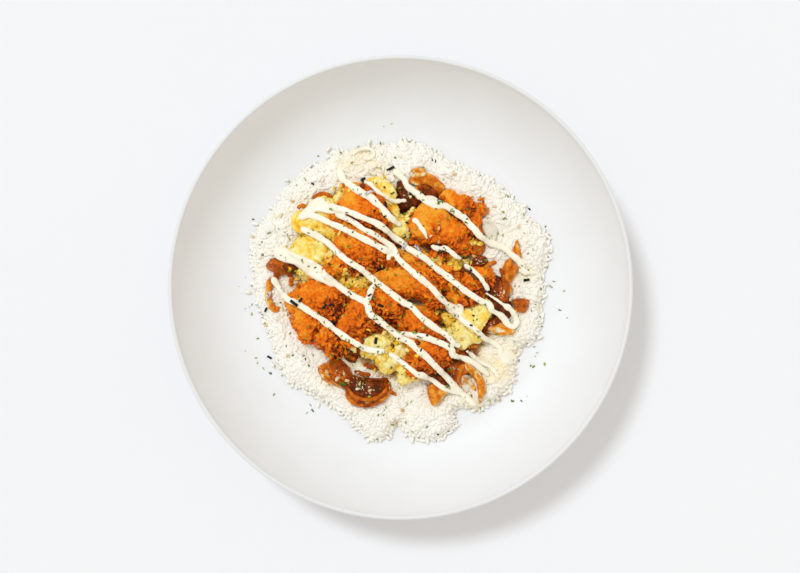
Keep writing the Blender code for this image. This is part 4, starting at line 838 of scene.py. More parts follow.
class HeightMap(PlanGrid):
    """The highest surface so far, as the solids were stacked on it."""

    def __init__(self):
        super().__init__(MAP_HALF, CELL)

    def stamp(self, points, faces):
        """Raise the map to the top of a piece."""
        for face in faces:
            for corner in range(1, len(face) - 1):
                self.stamp_triangle(points[[face[0], face[corner], face[corner + 1]]])

    def stamp_triangle(self, corners):
        low = np.floor((corners[:, :2].min(axis=0) + self.half) / self.cell - 0.5).astype(int)
        high = np.ceil((corners[:, :2].max(axis=0) + self.half) / self.cell - 0.5).astype(int) + 1
        low = np.clip(low, 0, self.count)
        high = np.clip(high, 0, self.count)
        window = (slice(low[0], high[0]), slice(low[1], high[1]))
        x, y = self.x[window], self.y[window]
        if x.size == 0:
            return
        (ax, ay, az), (bx, by, bz), (cx, cy, cz) = corners
        area = (bx - ax) * (cy - ay) - (cx - ax) * (by - ay)
        if area == 0:
            return
        second = ((x - ax) * (cy - ay) - (cx - ax) * (y - ay)) / area
        third = ((bx - ax) * (y - ay) - (x - ax) * (by - ay)) / area
        inside = (second >= -EDGE_SHARE) & (third >= -EDGE_SHARE) & (second + third <= 1 + EDGE_SHARE)
        height = az + second * (bz - az) + third * (cz - az)
        better = inside & (height > self.level[window])
        self.level[window][better] = height[better]


class SurfaceMap(PlanGrid):
    """The top of everything so far, as it is seen."""

    def __init__(self):
        super().__init__(TOP_HALF, TOP_CELL)

    def add(self, points):
        """Raise the map to a cloud of points, with the holes between them closed."""
        cloud = np.zeros_like(self.level)
        points = points[np.abs(points[:, :2]).max(axis=1) < self.half - 2 * self.cell]
        np.maximum.at(cloud, self.cells(points[:, 0], points[:, 1]), points[:, 2])
        self.level = np.maximum(self.level, highest_nearby(cloud))

    def at(self, x, y):
        return self.level[self.cells(x, y)]

    def slope(self, x, y, reach):
        return ((self.at(x + reach, y) - self.at(x - reach, y)) / (2 * reach),
                (self.at(x, y + reach) - self.at(x, y - reach)) / (2 * reach))

    def seen_at(self, point):
        """Where a point of the photograph meets the surface, as the camera looks at it."""
        level = FIRST_LEVEL
        for _ in range(SIGHT_ROUNDS):
            x, y = plan(point, (CAMERA_PLACE[2] - level) / FOCAL_PIXELS)
            level = float(self.at(x, y))
        return np.array([x, y, level])

    def seen_outline(self, points):
        """Places in plan of points of the photograph."""
        return np.array([self.seen_at(point)[:2] for point in points])

    def eased(self, x, y, reach):
        """The height of the surface, evened out over a small neighbourhood."""
        steps = (-1.0, -0.5, 0.0, 0.5, 1.0)
        return np.mean([self.at(x + a * reach, y + b * reach) for a in steps for b in steps], axis=0)


def lattice(steps):
    """Weights of the points of an even grid inside a triangle."""
    rows = [(i / steps, j / steps, (steps - i - j) / steps)
            for i in range(steps + 1) for j in range(steps + 1 - i)]
    return np.array(rows)


def lift_clear(points, faces, ground, heights):
    """Raise points until every face of an underside clears the ground by the gap."""
    weights_of = {}
    for _ in range(LIFT_ROUNDS):
        raise_by = np.zeros(len(points))
        for face in faces:
            corners = points[list(face)]
            longest = max(np.linalg.norm(corners[i, :2] - corners[i - 1, :2]) for i in range(3))
            steps = max(1, math.ceil(longest / SAMPLE_STEP))
            if steps not in weights_of:
                weights_of[steps] = lattice(steps)
            weights = weights_of[steps]
            spots = weights @ corners
            short = ground[heights.cells(spots[:, 0], spots[:, 1])] + GAP - spots[:, 2]
            worst = int(np.argmax(short))
            if short[worst] > CLEARANCE_ERROR:
                share = weights[worst]
                for corner, part in zip(face, share / (share ** 2).sum()):
                    raise_by[corner] = max(raise_by[corner], short[worst] * part)
        if raise_by.max() < CLEARANCE_ERROR:
            break
        points[:, 2] += raise_by


def lean_of_ground(x, y, z):
    """The plane that follows the ground under a piece, no steeper than a piece would lie."""
    matrix = np.column_stack([np.ones_like(x), x - x.mean(), y - y.mean()])
    level, slope_x, slope_y = np.linalg.lstsq(matrix, z, rcond=None)[0]
    steepness = math.hypot(slope_x, slope_y)
    if steepness > STEEPEST_LEAN:
        slope_x *= STEEPEST_LEAN / steepness
        slope_y *= STEEPEST_LEAN / steepness
    return level, slope_x, slope_y


def disc_spots(centre, rim, shares):
    """A centre and rings of points inside a rim, and how far out each point is."""
    spots = np.vstack([centre] + [centre + (rim - centre) * share for share in shares])
    return spots, np.concatenate([[0.0]] + [np.full(len(rim), value) for value in shares])


def ring_numbers(rings, around):
    """The point numbers of rings that follow a centre point."""
    return [list(range(1 + k * around, 1 + (k + 1) * around)) for k in range(rings)]


def fan_and_rings(centre, rings, flip):
    """Triangles of a disc from a centre point and rings of points, inside to outside."""
    count = len(rings[0])
    faces = []
    for index in range(count):
        after = (index + 1) % count
        faces.append((centre, rings[0][index], rings[0][after]))
        for inner, outer in zip(rings, rings[1:]):
            faces.append((inner[index], outer[index], outer[after]))
            faces.append((inner[index], outer[after], inner[after]))
    if flip:
        faces = [tuple(reversed(face)) for face in faces]
    return faces


def disc_plate(flat, top, low, shares, around):
    """A closed plate: a top and an underside over the same disc, and the wall between them."""
    count = len(flat)
    rings = ring_numbers(len(shares), around)
    lower = [[count + index for index in ring] for ring in rings]
    faces = fan_and_rings(0, rings, False) + fan_and_rings(count, lower, True)
    for index in range(around):
        after = (index + 1) % around
        faces.append((rings[-1][index], lower[-1][index], lower[-1][after], rings[-1][after]))
    return np.vstack([np.column_stack([flat, top]), np.column_stack([flat, low])]), faces


def seed_of(name):
    """A whole number that belongs to a name."""
    return sum(ord(letter) for letter in name)


def chunk_form(heights, name, outline, kind):
    """Points and faces of a rounded chunk that lies on what is under it, as its solid does."""
    sectors, shares = kind["sectors"], kind["rings"]
    thickness = min(max(kind["share"] * smallest_width(outline), kind["least"]), kind["most"])
    rim = even(spline([plan(point) for point in outline], True), sectors, True)
    spots, share = disc_spots(rim.mean(axis=0), rim, shares)
    ground = highest_nearby(heights.level)
    under = ground[heights.cells(spots[:, 0], spots[:, 1])]
    level, slope_x, slope_y = lean_of_ground(spots[:, 0], spots[:, 1], under)
    middle = spots.mean(axis=0)
    bed = level + (spots[:, 0] - middle[0]) * slope_x + (spots[:, 1] - middle[1]) * slope_y
    dome = np.sqrt(np.clip(1 - share ** DOME_POWER, 0, 1))
    belly = BELLY_SHARE * thickness

    lower = np.column_stack([spots, bed + belly * (1 - dome)])
    rings = ring_numbers(len(shares), sectors)
    lower_rings = [rings[k] for k in UNDERSIDE_RINGS]
    underside = fan_and_rings(0, lower_rings, True)
    lift_clear(lower, underside, ground, heights)

    floor_map = HeightMap()
    floor_map.level[:] = 0.0
    for face in underside:
        floor_map.stamp_triangle(lower[list(face)])
    floor = floor_map.level[heights.cells(spots[:, 0], spots[:, 1])]
    size = kind["relief_size"]
    relief = np.array([noise.noise(Vector((x / size, y / size, seed_of(name)))) for x, y in spots])
    top = bed + belly + (thickness - belly + kind["relief"] * relief) * dome
    top = np.maximum(top, np.maximum(floor, lower[:, 2]) + THINNEST * dome)
    last = rings[-1]
    top[last] = lower[last, 2]

    count = len(spots)
    points = np.vstack([np.column_stack([spots, top]), lower[0], lower[lower_rings[0]]])
    bottom_ring = list(range(count + 1, count + 1 + sectors))
    upper_faces = fan_and_rings(0, rings, False)
    heights.stamp(points, upper_faces)
    return points, upper_faces + fan_and_rings(count, [bottom_ring, last], True), rim


def tube(path, widths, rises, sides=STRIP_SIDES):
    """Points and faces of a closed tube with a half width and half height at each place of its path."""
    count = len(path)
    points = []
    for index in range(count):
        ahead = path[min(index + 1, count - 1)] - path[max(index - 1, 0)]
        side = np.array([ahead[1], -ahead[0], 0.0]) / max(math.hypot(ahead[0], ahead[1]), 1e-9)
        for k in range(sides):
            turn = math.tau * (k + 0.5) / sides
            points.append(path[index] + side * widths[index] * math.cos(turn)
                          + np.array([0.0, 0.0, rises[index] * math.sin(turn)]))
    faces = []
    for index in range(count - 1):
        for k in range(sides):
            a, b = sides * index + k, sides * index + (k + 1) % sides
            faces.append((a, b, b + sides, a + sides))
    faces.append(tuple(reversed(range(sides))))
    faces.append(tuple(range(sides * (count - 1), sides * count)))
    return np.array(points), faces


def rounded_ends(lengths, end_length):
    """A share from 0 to 1 along a path that rounds off its two ends."""
    near = np.minimum(lengths, lengths[-1] - lengths) / end_length
    return np.sqrt(np.clip(1 - (1 - np.clip(near, 0, 1)) ** 2, 0.02, 1))


def strip_form(heights, width, route):
    """Points and faces of a soft strip that lies on what is under it."""
    curve = spline([plan(point) for point in route], False)
    length = np.linalg.norm(np.diff(curve, axis=0), axis=1).sum()
    count = max(6, int(round(length / STRIP_STEP)) + 1)
    path = even(curve, count, False)
    half = width * PLAN_SCALE / 2
    level = highest_nearby(heights.level)[heights.cells(path[:, 0], path[:, 1])]
    for _ in range(3):
        eased = np.convolve(np.pad(level, 2, mode="edge"), np.ones(5) / 5, mode="valid")
        level = np.maximum(level, eased)
    ends = rounded_ends(np.linspace(0, length, count), STRIP_END_LENGTH)
    path = np.column_stack([path, level + STRIP_THICKNESS / 2 + GAP])
    points, faces = tube(path, half * ends, STRIP_THICKNESS / 2 * ends)
    heights.stamp(points, faces)
    return points, faces, path


def under_strands(outline):
    """The outline with its edges run on beneath the strands that cover them."""
    routes = np.vstack([spline(route, False) for _, route in MAYO_STRANDS.values()])
    corners = np.array(outline, dtype=float)
    centre = corners.mean(axis=0)
    for corner in corners:
        away = corner - centre
        near = np.linalg.norm(routes - corner, axis=1).min()
        reach = STRAND_REACH * max(0.0, 1 - near / STRAND_SEARCH)
        corner += away / np.linalg.norm(away) * reach
    return corners


def smallest_width(outline):
    """The narrowest extent of an outline in plan, over all directions."""
    points = np.array([plan(point) for point in outline])
    turns = np.linspace(0, math.pi, 24, endpoint=False)
    extents = [np.ptp(points @ np.array([math.cos(turn), math.sin(turn)])) for turn in turns]
    return min(extents)


def inside_outline(x, y, outline):
    """Which points of a grid lie inside a closed outline."""
    within = np.zeros(np.shape(x), dtype=bool)
    for (ax, ay), (bx, by) in zip(outline, np.roll(outline, -1, axis=0)):
        crosses = (ay > y) != (by > y)
        with np.errstate(divide="ignore", invalid="ignore"):
            within ^= crosses & (x < (bx - ax) * (y - ay) / (by - ay) + ax)
    return within


def distance_to_outline(spots, outline):
    """Distance of each point from the nearest edge of an outline."""
    nearest = np.full(len(spots), np.inf)
    for start, end in zip(outline, np.roll(outline, -1, axis=0)):
        along = end - start
        t = np.clip(((spots - start) @ along) / (along @ along), 0, 1)
        nearest = np.minimum(nearest, np.linalg.norm(spots - start - t[:, None] * along, axis=1))
    return nearest


def rice_height(spots, outline):
    """Height of the bed of rice over the bowl, without its grains."""
    radius = np.linalg.norm(spots, axis=1)
    level = RICE_CENTRE_HEIGHT + (RICE_EDGE_HEIGHT - RICE_CENTRE_HEIGHT) * (radius / FLOOR_RADIUS) ** 2
    mounds = np.array([noise.noise(Vector((x, y, 0.0)) / RICE_MOUND_SIZE) for x, y in spots])
    shoulder = 1 - np.exp(-distance_to_outline(spots, outline) / RICE_SHOULDER)
    return RICE_RIM_LEVEL + (level + RICE_MOUND * mounds - RICE_RIM_LEVEL) * shoulder


def scatter(rng, spacing, allowed):
    """Points at least the spacing apart, where they are allowed."""
    found = []
    cells = {}
    tries = int(TRIES_PER_CELL * (2 * MAP_HALF / spacing) ** 2)
    for _ in range(tries):
        spot = np.array([rng.uniform(-MAP_HALF, MAP_HALF), rng.uniform(-MAP_HALF, MAP_HALF)])
        if not allowed(spot):
            continue
        home = (spot // spacing).astype(int)
        near = [index for i in (-1, 0, 1) for j in (-1, 0, 1)
                for index in cells.get((home[0] + i, home[1] + j), [])]
        if all(np.linalg.norm(found[index] - spot) >= spacing for index in near):
            cells.setdefault(tuple(home), []).append(len(found))
            found.append(spot)
    return found


def flat_triangles(rim, inner):
    """Triangles over a closed outline and the points inside it."""
    spots = [Vector(spot) for spot in np.vstack([rim, inner])]
    result = geometry.delaunay_2d_cdt(spots, [], [list(range(len(rim)))], 1, 1e-7)
    return np.array([tuple(spot) for spot in result[0]]), result[2]


class Shader:
    """A Principled material and short ways to add nodes to it."""

    def __init__(self, name, roughness, **sockets):
        self.material = bpy.data.materials.new(name)
        self.material.use_nodes = True
        self.tree = self.material.node_tree
        self.shader = self.tree.nodes["Principled BSDF"]
        self.shader.inputs["Roughness"].default_value = roughness
        for socket, value in sockets.items():
            self.shader.inputs[socket.replace("_", " ")].default_value = value
        self.place = self.tree.nodes.new("ShaderNodeTexCoord").outputs["Object"]

    def set(self, socket, value):
        """Link a socket to another, or give it a value."""
        if isinstance(value, bpy.types.NodeSocket):
            self.tree.links.new(value, socket)
        else:
            socket.default_value = value

    def node(self, kind, inputs, output, **settings):
        """Add a node, and return the output that is asked for."""
        node = self.tree.nodes.new(kind)
        for key, value in settings.items():
            setattr(node, key, value)
        for key, value in inputs.items():
            self.set(node.inputs[key], value)
        return node.outputs[output]

    def noise(self, size, detail=3.0, roughness=0.55, distortion=0.0):
        """A noise from about 0 to 1 with features of the given size in metres."""
        return self.node("ShaderNodeTexNoise",
                         {"Vector": self.place, "Scale": 1 / size, "Detail": detail,
                          "Roughness": roughness, "Distortion": distortion}, "Fac")

    def cells(self, size):
        """The distance from the nearest of many cell centres."""
        return self.node("ShaderNodeTexVoronoi", {"Vector": self.place, "Scale": 1 / size}, "Distance")

    def attribute(self, name):
        """A value that the mesh holds at its points."""
        return self.node("ShaderNodeAttribute", {}, "Fac", attribute_name=name)

    def math(self, operation, first, second):
        return self.node("ShaderNodeMath", {0: first, 1: second}, 0, operation=operation)

    def span(self, value, low, high, to_low=0.0, to_high=1.0):
        """A value spread from one range to another, and kept inside it."""
        return self.node("ShaderNodeMapRange",
                         {"Value": value, "From Min": low, "From Max": high, "To Min": to_low,
                          "To Max": to_high}, "Result")

    def ramp(self, value, stops):
        """Colours at places along a value from 0 to 1."""
        node = self.tree.nodes.new("ShaderNodeValToRGB")
        self.set(node.inputs["Fac"], value)
        band = node.color_ramp.elements
        while len(band) < len(stops):
            band.new(0.5)
        for element, (position, colour) in zip(band, stops):
            element.position = position
            element.color = (*colour, 1.0)
        return node.outputs["Color"]

    def mix(self, share, first, second):
        """One colour passing into another."""
        node = self.tree.nodes.new("ShaderNodeMix")
        node.data_type = "RGBA"
        for key, value in (("Factor", share), ("A", first), ("B", second)):
            socket = next(s for s in node.inputs if s.name == key and (
                s.type == "VALUE" if key == "Factor" else s.type == "RGBA"))
            self.set(socket, (*value, 1.0) if isinstance(value, tuple) else value)
        return next(s for s in node.outputs if s.type == "RGBA")

    def bump(self, height, depth, strength=1.0):
        normal = self.node("ShaderNodeBump", {"Height": height, "Strength": strength,
                                              "Distance": depth}, "Normal")
        self.set(self.shader.inputs["Normal"], normal)

    def finish(self, colour, roughness=None):
        """Link the colour, and the roughness if it varies; the material is then done."""
        self.set(self.shader.inputs["Base Color"], colour)
        if roughness is not None:
            self.set(self.shader.inputs["Roughness"], roughness)
        return self.material


def soft(shader, weight, radius, scale):
    """Light that passes through the surface: its share, and how far each colour goes."""
    shader.shader.inputs["Subsurface Weight"].default_value = weight
    shader.shader.inputs["Subsurface Radius"].default_value = radius
    shader.shader.inputs["Subsurface Scale"].default_value = scale


def glaze_material():
    shader = Shader("white_glaze", 0.42, Specular_IOR_Level=0.28)
    drift = shader.noise(0.045, 2.0)
    mottle = shader.noise(0.0035, 3.0)
    tint = shader.mix(shader.span(drift, 0.35, 0.65), (0.860, 0.863, 0.862), (0.880, 0.883, 0.884))
    tint = shader.mix(shader.span(mottle, 0.3, 0.8, 0.0, 0.05), tint, (0.82, 0.82, 0.81))
    height = shader.node("ShaderNodeSeparateXYZ", {"Vector": shader.place}, "Z")
    # A darker band along the lip, all round: painted shade.
    lip = shader.math("MULTIPLY", shader.span(height, BOWL_HEIGHT - 0.0018, BOWL_HEIGHT - 0.0008),
                      shader.span(drift, 0.3, 0.7, 0.75, 1.0))
    tint = shader.mix(lip, tint, (0.79, 0.79, 0.78))
    shader.bump(shader.math("ADD", shader.noise(0.008, 2.0), shader.noise(0.0012, 2.0)), 0.00006, 0.5)
    return shader.finish(tint, shader.span(mottle, 0.3, 0.7, 0.40, 0.50))


def rice_material():
    shader = Shader("rice", 0.46, Specular_IOR_Level=0.27)
    tone = shader.attribute("tone")
    stain_and_shade = shader.attribute("stain_and_shade")
    grain = shader.mix(tone, (0.966, 0.922, 0.822), (0.988, 0.960, 0.884))
    grain = shader.mix(shader.span(shader.noise(0.004), 0.3, 0.7, 0.0, 0.35), grain, (0.97, 0.925, 0.82))
    # The cream value holds mayonnaise spread on the rice, and a painted yellowing beside the toppings that
    # offsets the red light they throw.
    grain = shader.mix(shader.attribute("cream_and_warmth"), grain, (1.0, 0.88, 0.60))
    # The dark sauce colour where the stain value is deep: sauce, and painted shade under the heap.
    sauce = shader.mix(shader.noise(0.003), (0.40, 0.11, 0.012), (0.12, 0.022, 0.004))
    deep_stain = shader.span(stain_and_shade, 0.36, 0.78)
    colour = shader.mix(shader.span(stain_and_shade, 0.04, 0.50), grain, (0.85, 0.70, 0.38))
    colour = shader.mix(deep_stain, colour, sauce)
    shader.bump(shader.noise(0.0009, 2.0), 0.00012, 0.35)
    return shader.finish(colour, shader.span(deep_stain, 0, 1, 0.46, 0.18))


def chicken_material():
    shader = Shader("fried_chicken", 0.42, Specular_IOR_Level=0.21, Specular_Tint=(1.0, 0.74, 0.46, 1.0))
    soft(shader, 0.06, (1.0, 0.35, 0.1), 0.0010)
    brown = shader.attribute("brown")
    fine = shader.noise(0.0011, 4.0, 0.6)
    patch = shader.noise(0.0055, 3.0)
    value = shader.math("ADD", brown, shader.span(fine, 0.32, 0.68, 0.16, -0.16))
    value = shader.math("ADD", value, shader.span(patch, 0.38, 0.62, -0.14, 0.14))
    colour = shader.ramp(value, [
        (0.0, (1.0, 0.42, 0.030)), (0.18, (1.0, 0.28, 0.008)), (0.38, (0.96, 0.198, 0.006)),
        (0.58, (0.72, 0.130, 0.005)), (0.80, (0.36, 0.048, 0.004)), (1.0, (0.12, 0.016, 0.003))])
    # Painted highlight: pale peach patches on the less brown parts, in place of oily shine.
    pale = shader.math("MULTIPLY", shader.span(shader.noise(0.0032, 3.0, 0.6, 0.8), 0.52, 0.74, 0.0, 0.4),
                       shader.span(brown, 0.1, 0.45, 1.0, 0.0))
    colour = shader.mix(pale, colour, (1.0, 0.53, 0.12))
    # Small golden specks: partly crumb tips, partly painted highlight.
    crumb = shader.span(shader.cells(0.0016), 0.0, 0.35, 0.4, 0.0)
    colour = shader.mix(crumb, colour, shader.mix(0.5, colour, (0.98, 0.50, 0.06)))
    grit = shader.math("ADD", shader.noise(0.0026, 5.0, 0.68, 0.8),
                       shader.math("MULTIPLY", shader.cells(0.0013), 0.25))
    shader.bump(grit, 0.0018, 0.65)
    return shader.finish(colour, shader.span(fine, 0.3, 0.7, 0.26, 0.5))


def egg_material():
    shader = Shader("scrambled_egg", 0.3, Specular_IOR_Level=0.35)
    soft(shader, 0.18, (1.0, 0.75, 0.25), 0.0018)
    yolk = shader.attribute("brown")
    value = shader.math("ADD", yolk, shader.span(shader.noise(0.0020, 3.0), 0.3, 0.7, -0.18, 0.18))
    colour = shader.ramp(value, [
        (0.0, (1.0, 0.90, 0.45)), (0.32, (1.0, 0.79, 0.21)), (0.58, (1.0, 0.63, 0.050)),
        (0.84, (1.0, 0.46, 0.008)), (1.0, (0.85, 0.32, 0.004))])
    shader.bump(shader.noise(0.0010, 3.0), 0.0003, 0.25)
    return shader.finish(colour)


def onion_material():
    shader = Shader("braised_onion", 0.14, Specular_IOR_Level=0.34, Specular_Tint=(1.0, 0.62, 0.36, 1.0))
    soft(shader, 0.12, (1.0, 0.38, 0.08), 0.0012)
    dark = shader.attribute("brown")
    streak = shader.noise(0.0025, 3.0, 0.6, 0.6)
    value = shader.math("ADD", dark, shader.span(streak, 0.3, 0.7, -0.16, 0.16))
    colour = shader.ramp(value, [
        (0.0, (0.86, 0.82, 0.66)), (0.06, (0.89, 0.64, 0.30)), (0.13, (0.90, 0.40, 0.04)),
        (0.30, (0.74, 0.185, 0.006)), (0.5, (0.46, 0.082, 0.003)), (0.75, (0.20, 0.028, 0.002)),
        (1.0, (0.06, 0.008, 0.001))])
    shader.bump(shader.noise(0.0014, 4.0, 0.6), 0.0009, 0.8)
    return shader.finish(colour, shader.span(streak, 0.3, 0.7, 0.08, 0.20))


def mayo_material():
    shader = Shader("mayonnaise", 0.3, Specular_IOR_Level=0.4)
    soft(shader, 0.1, (1.0, 0.82, 0.5), 0.0010)
    colour = shader.mix(shader.span(shader.noise(0.006), 0.35, 0.65), (1.0, 0.925, 0.73),
                        (1.0, 0.94, 0.77))
    shader.bump(shader.noise(0.0022, 2.0), 0.0002, 0.3)
    return shader.finish(colour)


def herb_material():
    shader = Shader("herb_flakes", 0.6, Specular_IOR_Level=0.15)
    tone = shader.attribute("tone")
    colour = shader.ramp(tone, [(0.0, (0.06, 0.11, 0.010)), (0.35, (0.16, 0.26, 0.02)),
                                (0.7, (0.38, 0.48, 0.04)), (1.0, (0.66, 0.64, 0.10))])
    colour = shader.mix(shader.span(shader.noise(0.0005), 0.3, 0.7, 0.0, 0.5), colour, (0.06, 0.09, 0.02))
    return shader.finish(colour)


def nori_material():
    shader = Shader("nori", 0.5, Specular_IOR_Level=0.06)
    painted_sheen_share = shader.attribute("tone")
    colour = shader.mix(shader.noise(0.0010, 3.0), (0.005, 0.005, 0.002), (0.015, 0.013, 0.006))
    # Painted highlight: patches of pale silvery colour on the sheened strips.
    sheen = shader.span(shader.noise(0.0014, 2.0), 0.34, 0.50)
    colour = shader.mix(shader.math("MULTIPLY", painted_sheen_share, sheen), colour, (0.76, 0.72, 0.72))
    shader.bump(shader.noise(0.0007), 0.0002, 0.6)
    return shader.finish(colour)


def seed_material():
    shader = Shader("sesame", 0.4)
    soft(shader, 0.2, (1.0, 0.7, 0.4), 0.0006)
    tone = shader.attribute("tone")
    colour = shader.ramp(tone, [(0.0, (0.58, 0.30, 0.10)), (0.5, (0.80, 0.56, 0.27)),
                                (1.0, (0.90, 0.74, 0.46))])
    colour = shader.mix(shader.span(shader.noise(0.0006), 0.3, 0.7, 0.0, 0.3), colour, (0.62, 0.36, 0.14))
    return shader.finish(colour)


def floor_material():
    shader = Shader("pale_floor", 0.75)
    colour = shader.mix(shader.noise(0.25, 2.0), (0.876, 0.874, 0.888), (0.889, 0.887, 0.901))
    return shader.finish(colour)


def new_piece(name, points, faces, material, nodes=(), values=None):
    """A smooth mesh piece that rides on the bowl, with values at its points for its material."""
    mesh = bpy.data.meshes.new(name)
    mesh.from_pydata([tuple(point) for point in points], [], [tuple(face) for face in faces])
    return add_piece(name, mesh, material, nodes, values)


def add_piece(name, mesh, material, nodes=(), values=None):
    """An object of the scene for a mesh, riding on the bowl in the place of the nodes that it replaces."""
    for key, numbers in (values or {}).items():
        data = mesh.attributes.new(key, "FLOAT", "POINT").data
        data.foreach_set("value", np.asarray(numbers, dtype=np.float32))
    mesh.materials.clear()
    mesh.materials.append(material)
    mesh.shade_smooth()
    mesh.update()
    piece = bpy.data.objects.new(name, mesh)
    bpy.context.scene.collection.objects.link(piece)
    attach(piece, "root")
    if nodes:
        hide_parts(*nodes)
    return piece


def joined(parts):
    """Points and faces of several closed forms as one list each."""
    points, faces, start = [], [], 0
    for some_points, some_faces in parts:
        points.append(np.asarray(some_points))
        faces.extend(tuple(start + index for index in face) for face in some_faces)
        start += len(some_points)
    return np.vstack(points), faces


def joined_piece(name, parts, material, key, numbers):
    """Many small forms as one piece, with a value at each point for its material."""
    points, faces = joined(parts)
    new_piece(name, points, faces, material, (), {key: np.concatenate(numbers)})
    return points


def voxel_skin(points, faces, size):
    """One even skin over closed forms, which merges those that overlap."""
    mesh = bpy.data.meshes.new("form")
    mesh.from_pydata([tuple(point) for point in points], [], [tuple(face) for face in faces])
    item = bpy.data.objects.new("form", mesh)
    bpy.context.scene.collection.objects.link(item)
    remesh = item.modifiers.new("skin", "REMESH")
    remesh.mode = "VOXEL"
    remesh.voxel_size = size
    skin = bpy.data.meshes.new_from_object(item.evaluated_get(bpy.context.evaluated_depsgraph_get()))
    bpy.data.objects.remove(item, do_unlink=True)
    bpy.data.meshes.remove(mesh)
    return skin


def places(mesh):
    """The places of a mesh's points."""
    points = np.zeros(len(mesh.vertices) * 3)
    mesh.vertices.foreach_get("co", points)
    return points.reshape(-1, 3)


def normals(mesh):
    """The outward directions at a mesh's points."""
    mesh.update()
    values = np.zeros(len(mesh.vertices) * 3)
    mesh.vertex_normals.foreach_get("vector", values)
    return values.reshape(-1, 3)


def move_to(mesh, points):
    mesh.vertices.foreach_set("co", np.asarray(points, dtype=np.float32).ravel())
    mesh.update()


def relax(mesh, rounds):
    """Even out a mesh by moving each point halfway to the middle of its neighbours."""
    edges = np.zeros(len(mesh.edges) * 2, dtype=np.int64)
    mesh.edges.foreach_get("vertices", edges)
    a, b = edges.reshape(-1, 2).T
    points = places(mesh)
    degree = np.bincount(np.concatenate([a, b]), minlength=len(points))[:, None]
    for _ in range(rounds):
        total = np.zeros_like(points)
        for axis in range(3):
            total[:, axis] = (np.bincount(a, points[b, axis], len(points))
                              + np.bincount(b, points[a, axis], len(points)))
        points += 0.5 * (total / degree - points)
    move_to(mesh, points)


def noise_at(points, size, seed):
    """Smooth noise from -1 to 1 at each point."""
    shift = Vector((seed * 3.17, seed * 1.31, seed * 0.73))
    return np.array([noise.noise(Vector(point) / size + shift) for point in points])


def cells_at(points, size, seed):
    """Distances to the nearest and the second nearest cell centre, in cells."""
    shift = Vector((seed * 2.11, seed * 0.57, seed * 1.93))
    found = [noise.voronoi(Vector(point) / size + shift)[0] for point in points]
    return np.array([distances[0] for distances in found]), np.array([distances[1] for distances in found])


def warped(points, size, reach, seed):
    """Points pushed about by noise, so that patterns on them fold and run."""
    return points + reach * np.column_stack([noise_at(points, size, seed + k) for k in (1, 2, 3)])


def ridges_at(points, size, seed):
    """Sharp ridges with rounded valleys, from about -1 to 1."""
    return 1 - 4.4 * np.minimum(np.abs(noise_at(points, size, seed)), 0.4545)


def smoothstep(low, high, value):
    """A share that eases from 0 at the low value to 1 at the high one."""
    t = np.clip((value - low) / (high - low), 0, 1)
    return t * t * (3 - 2 * t)


def bowl_profile():
    """Radii and heights of the bowl's section: floor, wall, round lip, outer wall and foot ring."""
    wall_radii = np.linspace(FLOOR_RADIUS, BOWL_RADIUS - LIP_THICKNESS, BOWL_FINE_STEPS + 1)
    inner = [(radius, BOWL_FLOOR) for radius in np.linspace(0, FLOOR_RADIUS, BOWL_FLOOR_RINGS)[1:-1]]
    inner += [(radius, float(bowl_surface(radius))) for radius in wall_radii]
    lip_middle = BOWL_RADIUS - LIP_THICKNESS / 2
    lip_height = BOWL_HEIGHT - LIP_THICKNESS / 2
    lip_half = LIP_THICKNESS / 2
    lip = [(lip_middle + lip_half * math.cos(turn), lip_height + lip_half * math.sin(turn))
           for turn in np.radians(np.linspace(BOWL_LIP_START, 0, BOWL_LIP_RINGS))]
    outer = []
    for radius in wall_radii[-2::-1]:
        share = (radius - FLOOR_RADIUS) / (BOWL_RADIUS - LIP_THICKNESS - FLOOR_RADIUS)
        thick = BASE_THICKNESS + (LIP_THICKNESS - BASE_THICKNESS) * share
        angle = float(wall_angle(radius))
        inside = float(bowl_surface(radius))
        outer.append((radius + thick * math.sin(angle), inside - thick * math.cos(angle)))
    base = outer[-1][1]
    foot_top = FOOT_OUTER_RADIUS + FOOT_TAPER
    recess_edge = FOOT_INNER_RADIUS - FOOT_TAPER
    foot = [(foot_top + BASE_REACH, base), (foot_top + FOOT_FILLET, base), (foot_top, base - FOOT_FILLET),
            (FOOT_OUTER_RADIUS + FOOT_BEVEL, FOOT_ROUND), (FOOT_OUTER_RADIUS - FOOT_ROUND, 0.0),
            (FOOT_INNER_RADIUS + FOOT_ROUND, 0.0), (FOOT_INNER_RADIUS - FOOT_BEVEL, FOOT_ROUND),
            (recess_edge, RECESS_HEIGHT - FOOT_FILLET), (recess_edge - FOOT_FILLET, RECESS_HEIGHT)]
    foot += [(radius, RECESS_HEIGHT) for radius in BOWL_RECESS_RINGS]
    return inner + lip + outer + foot


def add_bowl(material):
    """The bowl, turned from its section."""
    profile = bowl_profile()
    points = [(0.0, 0.0, BOWL_FLOOR)]
    for radius, height in profile:
        for index in range(BOWL_FINE_SEGMENTS):
            turn = math.tau * index / BOWL_FINE_SEGMENTS
            points.append((radius * math.cos(turn), radius * math.sin(turn), height))
    points.append((0.0, 0.0, RECESS_HEIGHT))
    count = BOWL_FINE_SEGMENTS
    rings = ring_numbers(len(profile), count)
    faces = []
    for index in range(count):
        after = (index + 1) % count
        faces.append((0, rings[0][index], rings[0][after]))
        faces.append((len(points) - 1, rings[-1][after], rings[-1][index]))
        for upper, lower in zip(rings, rings[1:]):
            faces.append((upper[index], lower[index], lower[after], upper[after]))
    new_piece("bowl_glazed", points, faces, material, ["bowl"])


